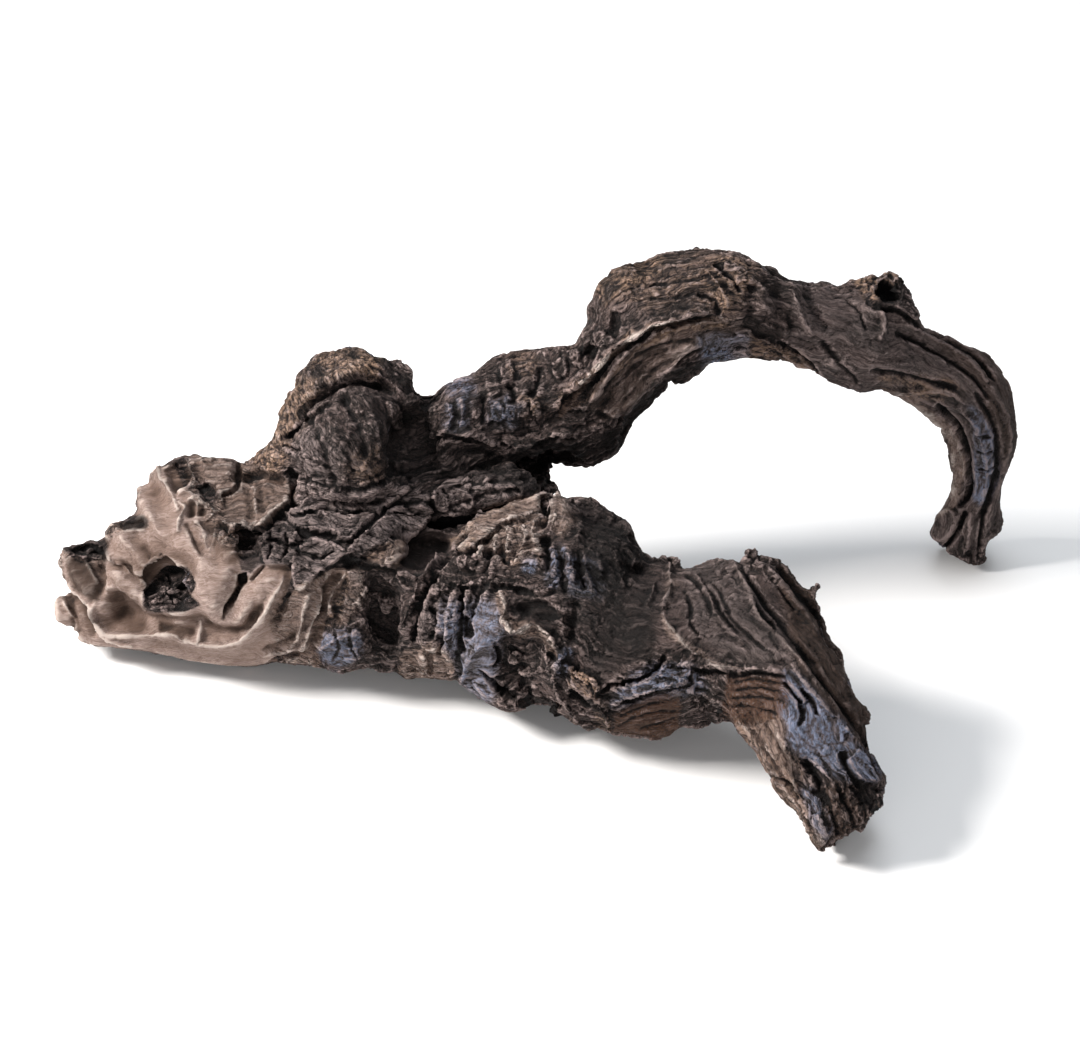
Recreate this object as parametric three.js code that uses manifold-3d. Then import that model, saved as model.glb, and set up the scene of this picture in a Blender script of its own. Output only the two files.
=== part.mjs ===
/**
 * A dry, weathered root, lying as it comes to rest on a table.
 *
 * It grew as one piece, so it is one solid: a thick, hollowed butt on the left, a burl of two lobes on
 * its back, a front root that runs to the right and turns down to a foot, and a back root that humps up,
 * carries the stub of a cut side root, and hooks round until its tip meets the ground.
 *
 * Millimetres. +X runs along the root from butt to hook, +Y from front to back, +Z up. The origin is on
 * the ground under the middle of the root.
 */
import * as THREE from "three";
import { ImprovedNoise } from "three/addons/math/ImprovedNoise.js";
import { mergeVertices } from "three/addons/utils/BufferGeometryUtils.js";
import Module from "manifold-3d";

const BARK_BROWN = 0x4a3a33;
const BARK_ROUGHNESS = 0.85;

// Every limb is measured across the way a person at the front looks at it, tilted down by this angle.
const LOOK_DOWN = THREE.MathUtils.degToRad(35);
const LOOK = new THREE.Vector3(0, Math.cos(LOOK_DOWN), -Math.sin(LOOK_DOWN));

const GNARL_SIZE = 30; // from one knob of the bark to the next
const GNARL_HEIGHT = 5; // how far the knobs push the bark about
const GROUND_BLOCK = 900; // side of the block that squares off what would reach under the ground

// A station is a point on a limb's core with its half width across the look and its half depth along it.
const station = (x, y, z, across, deep) => ({ at: new THREE.Vector3(x, y, z), across, deep });

const FRONT_ROOT = [
  station(-300, 40, 34, 16, 20),
  station(-276, 44, 38, 36, 38),
  station(-240, 45, 48, 54, 56),
  station(-198, 42, 56, 62, 62),
  station(-152, 36, 56, 63, 64),
  station(-107, 26, 53, 57, 58),
  station(-61, 10, 51, 51, 54),
  station(-16, -6, 58, 63, 58),
  station(22, -20, 63, 71, 60),
  station(54, -38, 55, 61, 56),
  station(88, -50, 62, 54, 50),
  station(120, -58, 74, 46, 44),
  station(150, -66, 78, 30, 32),
];

const FOOT = [
  station(112, -40, 84, 32, 34),
  station(130, -64, 78, 44, 42),
  station(149, -90, 64, 45, 42),
  station(165, -122, 46, 38, 34),
  station(182, -156, 30, 33, 28),
  station(191, -184, 12, 25, 20),
];

const BACK_ROOT = [
  station(-100, 60, 106, 24, 34),
  station(-66, 86, 122, 31, 34),
  station(-36, 101, 132, 35, 36),
  station(-2, 110, 136, 38, 38),
  station(32, 112, 150, 38, 38),
  station(64, 112, 186, 36, 42),
  station(100, 110, 209, 39, 38),
  station(133, 108, 212, 33, 33),
  station(168, 110, 200, 30, 31),
  station(202, 115, 186, 33, 33),
  station(239, 120, 170, 28, 28),
  station(267, 125, 150, 28, 27),
  station(290, 128, 127, 27, 25),
  station(299, 130, 95, 23, 23),
  station(299, 132, 64, 20, 20),
  station(292, 130, 34, 24, 22),
  station(290, 120, -12, 22, 20),
];

const SLAB = [
  station(-116, 56, 98, 14, 26),
  station(-66, 60, 98, 17, 30),
  station(-34, 62, 101, 17, 28),
  station(6, 62, 104, 11, 22),
];

// The eroded rim of the butt ends in tongues and lips.
const UPPER_TONGUE = [station(-246, 34, 44, 12, 14), station(-285, 42, 60, 12, 12), station(-305, 44, 68, 7, 8)];
const LOWER_TONGUE = [station(-250, 26, 26, 14, 16), station(-290, 30, 26, 12, 14), station(-312, 34, 27, 9, 10)];
const BOTTOM_LIP = [station(-180, 4, 14, 14, 20), station(-230, 10, 18, 15, 20), station(-296, 20, 20, 9, 14)];

// Swellings of the wood: centre, half sizes, turn about Y in radians.
const LOBES = [
  { at: [-120, 88, 154], half: [42, 36, 34], turn: -0.05 }, // back lobe of the burl
  { at: [-92, 92, 152], half: [26, 24, 28], turn: 0 },
  { at: [-117, 60, 136], half: [39, 32, 34], turn: 0.2 }, // front lobe of the burl
  { at: [-150, 74, 118], half: [34, 34, 30], turn: 0.5 },
  { at: [-195, 66, 93], half: [40, 34, 30], turn: 0.1 }, // scalloped rim of the butt, four lobes
  { at: [-228, 70, 98], half: [23, 24, 24], turn: 0.4 },
  { at: [-252, 62, 86], half: [18, 22, 20], turn: 0.4 },
  { at: [-272, 52, 68], half: [17, 18, 17], turn: 0.4 },
  { at: [30, 106, 122], half: [32, 28, 26], turn: 0 }, // belly of the back root
  { at: [52, 108, 140], half: [22, 28, 30], turn: 0 },
  { at: [-10, 86, 100], half: [28, 22, 17], turn: 0 }, // webs that join the slab to the back root
  { at: [-8, 82, 86], half: [24, 20, 18], turn: 0 },
  { at: [62, 112, 214], half: [24, 28, 26], turn: 0 }, // shoulder of the hump
  { at: [216, 116, 212], half: [26, 20, 15], turn: 0.15 }, // stub of a cut side root
  { at: [234, 116, 210], half: [14, 16, 19], turn: 0 },
  { at: [14, 4, 116], half: [15, 22, 26], turn: 0.3 }, // crest of the front root
  { at: [134, -48, 112], half: [26, 22, 14], turn: 0.1 }, // spurs over the bend
  { at: [164, -62, 100], half: [16, 18, 18], turn: 0.7 },
];

// Places where the wood has rotted or weathered away.
const HOLLOWS = [
  { at: [-232, -8, 74], half: [17, 24, 14], turn: -0.2 }, // knot hole
  { at: [-180, 0, 110], half: [9, 16, 14], turn: 0 },
  { at: [-66, 4, 104], half: [30, 24, 16], turn: 0.1 }, // between burl and front root
  { at: [-96, -32, 74], half: [10, 16, 26], turn: -0.2 },
  { at: [4, 80, 108], half: [26, 24, 15], turn: 0 }, // under the back root
  { at: [-10, -76, 44], half: [30, 18, 8], turn: 0.4 }, // slot low on the front root
  { at: [221, 100, 222], half: [7, 12, 8], turn: 0 }, // in the stub
];

/** A closed surface drawn out along its stations, rounded over at both ends. */
function limb(stations, { rings, sides, roundedShare }) {
  const core = new THREE.CatmullRomCurve3(stations.map((s) => s.at));
  const girth = new THREE.CatmullRomCurve3(stations.map((s) => new THREE.Vector3(s.across, s.deep, 0)));
  const shape = new THREE.SphereGeometry(1, sides, rings);
  const { position } = shape.attributes;
  const unit = new THREE.Vector3();
  for (let i = 0; i < position.count; i++) {
    unit.fromBufferAttribute(position, i);
    const along = Math.acos(THREE.MathUtils.clamp(unit.y, -1, 1)) / Math.PI;
    const fromEnd = Math.min(1, Math.min(along, 1 - along) / roundedShare);
    const round = Math.sqrt(1 - (1 - fromEnd) ** 2);
    const around = Math.atan2(unit.z, unit.x);
    const middle = core.getPoint(along);
    const heading = core.getTangent(along);
    const size = girth.getPoint(along);
    const deepWay = LOOK.clone().addScaledVector(heading, -LOOK.dot(heading)).normalize();
    const acrossWay = deepWay.clone().cross(heading);
    middle.addScaledVector(acrossWay, Math.cos(around) * size.x * round);
    middle.addScaledVector(deepWay, Math.sin(around) * size.y * round);
    position.setXYZ(i, middle.x, middle.y, middle.z);
  }
  return shape;
}

/** An egg-shaped lump, turned about the Y axis. */
function lump({ at, half, turn }) {
  return new THREE.SphereGeometry(1, 14, 10).scale(...half).rotateY(turn).translate(...at);
}

/** Pushes a closed surface about by a smooth field, the same for every piece, so the bark turns knobbly. */
function gnarl(geometry) {
  const field = new ImprovedNoise();
  const { position } = geometry.attributes;
  const point = new THREE.Vector3();
  const shift = (p, lane) => GNARL_HEIGHT * field.noise(p.x + lane, p.y - lane, p.z + 2 * lane);
  for (let i = 0; i < position.count; i++) {
    point.fromBufferAttribute(position, i);
    const cell = point.clone().divideScalar(GNARL_SIZE);
    point.add(new THREE.Vector3(shift(cell, 0), shift(cell, 17), shift(cell, 41)));
    position.setXYZ(i, point.x, point.y, point.z);
  }
  return geometry;
}

const wasm = await Module();
wasm.setup();

/** A closed geometry as a solid that can be joined and cut. */
function solid(geometry) {
  const bare = geometry.clone().deleteAttribute("normal").deleteAttribute("uv");
  const merged = mergeVertices(bare, 1e-3);
  return new wasm.Manifold(
    new wasm.Mesh({
      numProp: 3,
      vertProperties: merged.attributes.position.array,
      triVerts: new Uint32Array(merged.index.array),
    }),
  );
}

/** A solid's surface as a geometry. */
function geometryOf(made) {
  const mesh = made.getMesh();
  return new THREE.BufferGeometry()
    .setAttribute("position", new THREE.BufferAttribute(mesh.vertProperties, 3))
    .setIndex(new THREE.BufferAttribute(mesh.triVerts, 1));
}

const grown = [
  limb(FRONT_ROOT, { rings: 42, sides: 22, roundedShare: 0.04 }),
  limb(FOOT, { rings: 18, sides: 18, roundedShare: 0.06 }),
  limb(BACK_ROOT, { rings: 50, sides: 16, roundedShare: 0.03 }),
  limb(SLAB, { rings: 12, sides: 12, roundedShare: 0.2 }),
  limb(UPPER_TONGUE, { rings: 8, sides: 10, roundedShare: 0.2 }),
  limb(LOWER_TONGUE, { rings: 8, sides: 10, roundedShare: 0.2 }),
  limb(BOTTOM_LIP, { rings: 10, sides: 10, roundedShare: 0.2 }),
  ...LOBES.map(lump),
];
const underGround = new THREE.BoxGeometry(GROUND_BLOCK, GROUND_BLOCK, GROUND_BLOCK).translate(0, 0, -GROUND_BLOCK / 2);

const whole = grown.map((shape) => solid(gnarl(shape))).reduce((joined, piece) => joined.add(piece));
const hollowed = HOLLOWS.reduce((left, hollow) => left.subtract(solid(lump(hollow))), whole);
const geometry = geometryOf(hollowed.subtract(solid(underGround)));
geometry.computeBoundingBox();
const middle = geometry.boundingBox.getCenter(new THREE.Vector3());
geometry.translate(-middle.x, -middle.y, 0);

const material = new THREE.MeshStandardMaterial({ color: BARK_BROWN, roughness: BARK_ROUGHNESS, metalness: 0 });
const dryRoot = new THREE.Mesh(geometry, material);
dryRoot.name = "dry_root";

const part = new THREE.Group();
part.add(dryRoot);
export default part;
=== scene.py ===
"""A dry, weathered root, finished for looks.

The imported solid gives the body. Its mesh is copied, evened out and sculpted: first the forms that a carver
would draw on from the front, such as lips, hollows, ridges and cracks, then bark, grain and granular wood
that follow the limbs all the way round. Heights and tones found on the way are kept on the points of the
mesh, and one node material reads them.

Lengths are written in millimetres and turned into metres by MM.
"""

import itertools
import logging
import math
from collections.abc import Callable
from dataclasses import dataclass
from enum import Enum

import bpy
import numpy as np
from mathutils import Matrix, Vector


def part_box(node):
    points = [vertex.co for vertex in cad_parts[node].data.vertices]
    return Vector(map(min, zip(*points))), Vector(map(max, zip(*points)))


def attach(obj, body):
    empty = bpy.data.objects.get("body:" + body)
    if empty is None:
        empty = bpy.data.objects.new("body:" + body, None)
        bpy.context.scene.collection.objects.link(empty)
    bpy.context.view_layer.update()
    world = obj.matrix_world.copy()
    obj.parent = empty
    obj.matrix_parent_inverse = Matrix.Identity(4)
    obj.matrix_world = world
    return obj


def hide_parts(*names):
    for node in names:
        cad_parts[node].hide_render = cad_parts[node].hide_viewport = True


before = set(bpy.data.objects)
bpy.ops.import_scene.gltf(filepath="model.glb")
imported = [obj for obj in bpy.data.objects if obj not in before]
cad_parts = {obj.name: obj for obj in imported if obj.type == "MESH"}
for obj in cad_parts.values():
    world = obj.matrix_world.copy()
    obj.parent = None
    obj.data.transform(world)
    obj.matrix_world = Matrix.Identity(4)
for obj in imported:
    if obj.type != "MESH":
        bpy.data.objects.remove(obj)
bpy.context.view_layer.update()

LOG = logging.getLogger("dry_root")
MM = 0.001
NODE = "dry_root"
BODY = "root"

# The root is looked at from the front, tilted down, and drawn on from there.
LOOK_DOWN = math.radians(35)
LOOK = np.array([0.0, math.cos(LOOK_DOWN), -math.sin(LOOK_DOWN)])
LOOK_UP = np.array([0.0, math.sin(LOOK_DOWN), math.cos(LOOK_DOWN)])
VIEW_DISTANCE = 1800.0
AIM_FROM_MIDDLE = (-1.0, 22.0, -7.0)

TINY = 1e-12  # keeps a length from being divided by nothing

Colour = tuple[float, float, float]
Socket = bpy.types.NodeSocket
Value = Socket | float | tuple[float, ...]


def smoothstep(low: float, high: float, value: np.ndarray) -> np.ndarray:
    """Rises smoothly from 0 at low to 1 at high.

    Args:
        low: Where the rise starts.
        high: Where the rise ends.
        value: Values to map.

    Returns:
        The mapped values, from 0 to 1.
    """
    share = np.clip((value - low) / (high - low), 0.0, 1.0)
    return share * share * (3.0 - 2.0 * share)


def unit(vectors: np.ndarray) -> np.ndarray:
    """Scales rows to length 1.

    Args:
        vectors: Rows of three numbers.

    Returns:
        The same rows with length 1.
    """
    length = np.linalg.norm(vectors, axis=-1, keepdims=True)
    return vectors / np.maximum(length, TINY)


def paired(*numbers: float) -> np.ndarray:
    """Takes numbers two by two as places on the board.

    Args:
        numbers: Right and up of each place in turn.

    Returns:
        One row of two per place.
    """
    return np.array(numbers, float).reshape(-1, 2)


def curve_through(points: np.ndarray, step: float) -> np.ndarray:
    """Draws a smooth curve through points, with even steps.

    Args:
        points: The points to pass through, in order.
        step: Distance between the returned points.

    Returns:
        Points along the curve.
    """
    padded = np.vstack([2 * points[0] - points[1], points, 2 * points[-1] - points[-2]])
    pieces = []
    for p0, p1, p2, p3 in zip(padded, padded[1:], padded[2:], padded[3:]):
        count = max(2, int(np.linalg.norm(p2 - p1) / step))
        t = np.linspace(0, 1, count, endpoint=False)[:, None]
        pieces.append(
            0.5
            * (
                2 * p1
                + (p2 - p0) * t
                + (2 * p0 - 5 * p1 + 4 * p2 - p3) * t**2
                + (3 * p1 - p0 - 3 * p2 + p3) * t**3
            )
        )
    pieces.append(points[-1:])
    return np.vstack(pieces)


class Noise:
    """Smooth and cellular noise that is the same on every run."""

    TABLE = 256  # entries in each lattice table
    OCTAVE_SHARE = 0.5  # height kept by each finer octave
    SMOOTH_GAIN = 1.6  # brings smooth noise to about -1 to 1
    FRACTAL_SUM = 1.5  # what the heights of fractal noise add up to
    RIDGED_SUM = 1.75  # the same for ridged noise

    def __init__(self, seed: int) -> None:
        """Draws the lattice tables.

        Args:
            seed: Number that fixes the noise.
        """
        draw = np.random.default_rng(seed)
        self.order = draw.permutation(self.TABLE)
        self.slopes = unit(draw.normal(size=(self.TABLE, 3)))
        self.spots = draw.random((self.TABLE, 3))

    def _lookup(self, cell: np.ndarray) -> np.ndarray:
        """Gives each lattice cell its place in the tables."""
        first = self.order[cell[:, 0] % self.TABLE]
        second = self.order[(first + cell[:, 1]) % self.TABLE]
        return self.order[(second + cell[:, 2]) % self.TABLE]

    def smooth(self, points: np.ndarray) -> np.ndarray:
        """Gradient noise.

        Args:
            points: Places, one unit per knob of noise.

        Returns:
            One value per place, about -1 to 1.
        """
        cell = np.floor(points).astype(np.int64)
        local = points - cell
        fade = local**3 * (local * (local * 6 - 15) + 10)
        total = np.zeros(len(points))
        for corner in itertools.product((0, 1), repeat=3):
            corner = np.array(corner)
            share = np.where(corner, fade, 1 - fade).prod(1)
            total += share * (self.slopes[self._lookup(cell + corner)] * (local - corner)).sum(1)
        return total * self.SMOOTH_GAIN

    def fractal(self, points: np.ndarray, octaves: int) -> np.ndarray:
        """Sums noise at halving sizes.

        Args:
            points: Places, one unit per largest knob.
            octaves: How many sizes to add.

        Returns:
            One value per place, about -1 to 1.
        """
        total = np.zeros(len(points))
        for octave in range(octaves):
            total += self.smooth(points * 2.03**octave + 7.3 * octave) * self.OCTAVE_SHARE**octave
        return total / self.FRACTAL_SUM

    def wander(
        self, places: np.ndarray, knob: float, shifts: tuple[float, ...], size: float, octaves: int = 2
    ) -> np.ndarray:
        """Small shifts that make what is drawn straight uneven.

        Args:
            places: Rows of x, y, z.
            knob: How far apart the shifts change.
            shifts: One number per lane, so that the lanes differ.
            size: How large the shifts are.
            octaves: How many sizes of noise to add.

        Returns:
            One row of shifts per place.
        """
        return size * np.stack([self.fractal(places / knob + shift, octaves) for shift in shifts], 1)

    def ridged(self, points: np.ndarray, octaves: int) -> np.ndarray:
        """Noise folded into sharp ridges.

        Args:
            points: Places, one unit per largest ridge.
            octaves: How many sizes to add.

        Returns:
            One value per place, from 0 in the valleys to about 1 on the ridges.
        """
        total = np.zeros(len(points))
        weight = np.ones(len(points))
        for octave in range(octaves):
            ridge = (1 - np.abs(self.smooth(points * 2.1**octave + 3.1 * octave))) ** 2
            total += ridge * weight * self.OCTAVE_SHARE**octave
            weight = np.clip(ridge * 1.4, 0, 1)
        return total / self.RIDGED_SUM

    def plates(self, points: np.ndarray, tilt: float) -> tuple[np.ndarray, np.ndarray]:
        """Broken plates: each cell lies at its own height and its own slope.

        Args:
            points: Places, one unit per plate.
            tilt: How steeply the plates may lean.

        Returns:
            The height, about -1 to 1, and the distance to the plate's edge, 0 at the edge.
        """
        cell = np.floor(points).astype(np.int64)
        local = points - cell
        nearest = np.full(len(points), 9.0)
        second = np.full(len(points), 9.0)
        height = np.zeros(len(points))
        for offset in itertools.product((-1, 0, 1), repeat=3):
            offset = np.array(offset)
            index = self._lookup(cell + offset)
            gap = self.spots[index] + offset - local
            distance = np.sqrt((gap**2).sum(1))
            second = np.minimum(second, np.maximum(nearest, distance))
            closer = distance < nearest
            lean = (self.slopes[index[closer]] * gap[closer]).sum(1)
            height[closer] = self.slopes[index[closer], 2] * 0.7 + tilt * lean
            nearest = np.minimum(nearest, distance)
        return height, second - nearest


class Surface:
    """The points of one mesh object as arrays, in millimetres."""

    def __init__(self, piece: bpy.types.Object) -> None:
        """Reads the mesh.

        Args:
            piece: The mesh object to work on.
        """
        self.piece = piece
        mesh = piece.data
        self.count = len(mesh.vertices)
        places = np.empty(self.count * 3)
        mesh.vertices.foreach_get("co", places)
        self.places = places.reshape(-1, 3) / MM
        ends = np.empty(len(mesh.edges) * 2, dtype=np.int32)
        mesh.edges.foreach_get("vertices", ends)
        self.ends = ends.reshape(-1, 2)
        self.degree = np.maximum(np.bincount(ends, minlength=self.count), 1)

    def store(self) -> None:
        """Writes the places back to the mesh."""
        self.piece.data.vertices.foreach_set("co", (self.places * MM).ravel())
        self.piece.data.update()

    def normals(self) -> np.ndarray:
        """Outward directions at the points.

        Returns:
            One row per point.
        """
        self.store()
        normals = np.empty(self.count * 3)
        self.piece.data.vertex_normals.foreach_get("vector", normals)
        return normals.reshape(-1, 3)

    def relaxed(self, values: np.ndarray, rounds: int) -> np.ndarray:
        """Averages values with those of neighbouring points.

        Args:
            values: One number or one row per point.
            rounds: How many times to average.

        Returns:
            The averaged values.
        """
        flat = values.reshape(self.count, -1).astype(float)
        first, last = self.ends.T
        for _ in range(rounds):
            for lane in range(flat.shape[1]):
                one = flat[:, lane]
                around = np.bincount(first, one[last], self.count) + np.bincount(last, one[first], self.count)
                flat[:, lane] = 0.5 * one + 0.5 * around / self.degree
        return flat.reshape(values.shape)

    def keep(self, name: str, values: np.ndarray) -> None:
        """Stores values on the points for the material to read.

        Args:
            name: The attribute's name.
            values: One number or one row of three per point.
        """
        kind, key = ("FLOAT", "value") if values.ndim == 1 else ("FLOAT_VECTOR", "vector")
        attribute = self.piece.data.attributes.new(name, kind, "POINT")
        attribute.data.foreach_set(key, values.astype(np.float32).ravel())


def remeshed(piece: bpy.types.Object, voxel: float) -> None:
    """Rebuilds a mesh from even voxels.

    Args:
        piece: The mesh object, changed in place.
        voxel: Voxel side.
    """
    modifier = piece.modifiers.new("even_out", "REMESH")
    modifier.mode = "VOXEL"
    modifier.voxel_size = voxel * MM
    modifier.use_smooth_shade = True
    graph = bpy.context.evaluated_depsgraph_get()
    made = bpy.data.meshes.new_from_object(piece.evaluated_get(graph))
    piece.modifiers.clear()
    old = piece.data
    piece.data = made
    bpy.data.meshes.remove(old)


class Board:
    """The sheet that forms are drawn on, held square to the look, seen from the eye."""

    CELL = 2.5  # side of the squares that the nearest surface is looked up in
    SLACK = 22.0  # how far behind the nearest surface a point still counts as open

    def __init__(self, middle: np.ndarray) -> None:
        """Sets the eye and where it looks.

        Args:
            middle: The middle of the root's box.
        """
        self.aim = middle + np.array(AIM_FROM_MIDDLE)
        self.eye = self.aim - LOOK * VIEW_DISTANCE

    def drawn(self, places: np.ndarray) -> tuple[np.ndarray, np.ndarray]:
        """Projects places on the sheet.

        Args:
            places: Rows of x, y, z.

        Returns:
            Rows of right and up on the sheet, and the depth from the eye.
        """
        away = places - self.eye
        depth = away @ LOOK
        right = away[:, 0] * VIEW_DISTANCE / depth
        up = away @ LOOK_UP * VIEW_DISTANCE / depth
        return np.stack([right, up], 1), depth

    def open_share(self, surface: Surface, normals: np.ndarray) -> np.ndarray:
        """How far each point lies open to the eye.

        Args:
            surface: The mesh.
            normals: Its outward directions.

        Returns:
            1 where a point faces the eye with nothing before it, falling to 0.
        """
        drawn, depth = self.drawn(surface.places)
        facing = -(normals * unit(surface.places - self.eye)).sum(1)
        cell = np.floor(drawn / self.CELL).astype(int)
        cell -= cell.min(0)
        wide = cell[:, 1].max() + 1
        index = cell[:, 0] * wide + cell[:, 1]
        nearest = np.full(index.max() + 1, np.inf)
        np.minimum.at(nearest, index, depth)
        behind = depth - nearest[index]
        return smoothstep(-0.25, 0.2, facing) * (1 - smoothstep(self.SLACK, 1.6 * self.SLACK, behind))


@dataclass(frozen=True)
class Limb:
    """A root's core line, the thickness around it, and where its along values start."""

    core: tuple[tuple[float, float, float], ...]
    thickness: float
    start: float

    STEP = 3.0  # between points of the smoothed core
    BATCH = 20000  # places measured at a time, to spare memory

    def straightened(self, places: np.ndarray) -> tuple[np.ndarray, np.ndarray]:
        """Gives places as if the limb were pulled straight.

        Args:
            places: Rows of x, y, z.

        Returns:
            Rows of along, across and deep, and the distance from the core in thicknesses.
        """
        line = curve_through(np.array(self.core), self.STEP)
        heading = unit(np.gradient(line, axis=0))
        travelled = np.concatenate([[0], np.cumsum(np.linalg.norm(np.diff(line, axis=0), axis=1))])
        deep_way = unit(LOOK - heading * (heading @ LOOK)[:, None])
        across_way = np.cross(deep_way, heading)
        made = np.empty((len(places), 3))
        far = np.empty(len(places))
        for first in range(0, len(places), self.BATCH):
            part = slice(first, first + self.BATCH)
            gap = places[part, None, :] - line[None]
            squared = (gap**2).sum(2)
            near = squared.argmin(1)
            rows = np.arange(len(near))
            step = gap[rows, near]
            made[part, 0] = travelled[near] + (step * heading[near]).sum(1) + self.start
            made[part, 1] = (step * across_way[near]).sum(1)
            made[part, 2] = (step * deep_way[near]).sum(1)
            far[part] = np.sqrt(squared[rows, near]) / self.thickness
        return made, far


FRONT_LIMB = Limb(
    core=(
        (-304, 57, 34), (-244, 62, 48), (-202, 59, 56), (-156, 53, 56), (-111, 43, 53), (-65, 27, 50),
        (-20, 11, 57), (18, -3, 63), (50, -21, 55), (84, -33, 62), (118, -45, 76), (145, -73, 64),
        (161, -105, 46), (178, -139, 30), (189, -169, 12),
    ),
    thickness=55.0,
    start=0.0,
)
BACK_LIMB = Limb(
    core=(
        (-124, 100, 140), (-104, 92, 120), (-70, 103, 122), (-40, 118, 132), (-6, 127, 136), (28, 129, 150),
        (58, 129, 186), (96, 127, 209), (129, 125, 212), (164, 127, 200), (198, 132, 186), (235, 137, 170),
        (263, 142, 150), (286, 145, 127), (295, 149, 95), (295, 149, 64), (288, 147, 34), (286, 137, -12),
    ),
    thickness=34.0,
    start=1000.0,
)


@dataclass
class Measured:
    """How spots lie to a drawn line: gap, distance, side, share of the way along it, and if inside."""

    gap: np.ndarray
    distance: np.ndarray
    side: np.ndarray
    share: np.ndarray
    inside: np.ndarray


def measured(spots: np.ndarray, line: np.ndarray, reach: float) -> Measured:
    """Measures spots against a line on the board.

    Args:
        spots: Places on the board.
        line: Points of the line, in order.
        reach: Spots farther away than this keep an endless distance.

    Returns:
        The measures, one per spot.
    """
    count = len(spots)
    made = Measured(
        gap=np.zeros((count, 2)),
        distance=np.full(count, np.inf),
        side=np.zeros(count),
        share=np.zeros(count),
        inside=np.zeros(count, bool),
    )
    across, upward = np.argsort(spots[:, 0]), np.argsort(spots[:, 1])
    sorted_right, sorted_up = spots[across, 0], spots[upward, 1]
    for index, (start, end) in enumerate(zip(line[:-1], line[1:])):
        way = end - start
        low, high = np.minimum(start, end) - reach, np.maximum(start, end) + reach
        pick = across[np.searchsorted(sorted_right, low[0]):np.searchsorted(sorted_right, high[0])]
        pick = pick[(spots[pick, 1] > low[1]) & (spots[pick, 1] < high[1])]
        gap = spots[pick] - start
        along = np.clip(gap @ way / max(way @ way, TINY), 0, 1)
        off = gap - along[:, None] * way
        distance = np.hypot(off[:, 0], off[:, 1])
        closer = distance < made.distance[pick]
        nearer = pick[closer]
        made.distance[nearer] = distance[closer]
        made.gap[nearer] = -off[closer]
        made.side[nearer] = np.sign(way[0] * gap[closer, 1] - way[1] * gap[closer, 0])
        made.share[nearer] = (index + along[closer]) / (len(line) - 1)
        bottom, top = sorted((start[1], end[1]))
        level = upward[np.searchsorted(sorted_up, bottom):np.searchsorted(sorted_up, top)]
        if len(level):
            crossing = start[0] + (spots[level, 1] - start[1]) * way[0] / way[1]
            made.inside[level] ^= spots[level, 0] < crossing
    return made


def inside_box(spots: np.ndarray, line: np.ndarray, reach: float) -> np.ndarray:
    """Finds the spots that a line can touch.

    Args:
        spots: Places on the board.
        line: Points of the line.
        reach: How far the line's touch goes.

    Returns:
        The indices of spots in the line's box, grown by the reach.
    """
    return np.flatnonzero(((spots > line.min(0) - reach) & (spots < line.max(0) + reach)).all(1))


def closed(points: np.ndarray, step: float) -> np.ndarray:
    """Draws a smooth outline through points and back to the first.

    Args:
        points: The outline's points, in order.
        step: Distance between the returned points.

    Returns:
        Points along the outline.
    """
    return curve_through(np.vstack([points, points[:1]]), step)


def bell(value: np.ndarray) -> np.ndarray:
    """A smooth hump.

    Args:
        value: How far out each number lies.

    Returns:
        1 at 0, falling to both sides.
    """
    return np.exp(-(value**2))


class Cut(Enum):
    """Ways to shape the wood along a drawn line or inside a drawn outline."""

    RIDGE = "a rounded ridge along the line"
    GROOVE = "a rounded furrow along the line"
    LIP = "an edge, gentle on the left of the line and falling sharply on the right"
    CRACK = "a narrow split along the line"
    PLATE = "the outline is raised like a plate, with a sharp edge"
    SWELL = "the outline bulges out"
    HOLLOW = "the outline is hollowed out"


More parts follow.
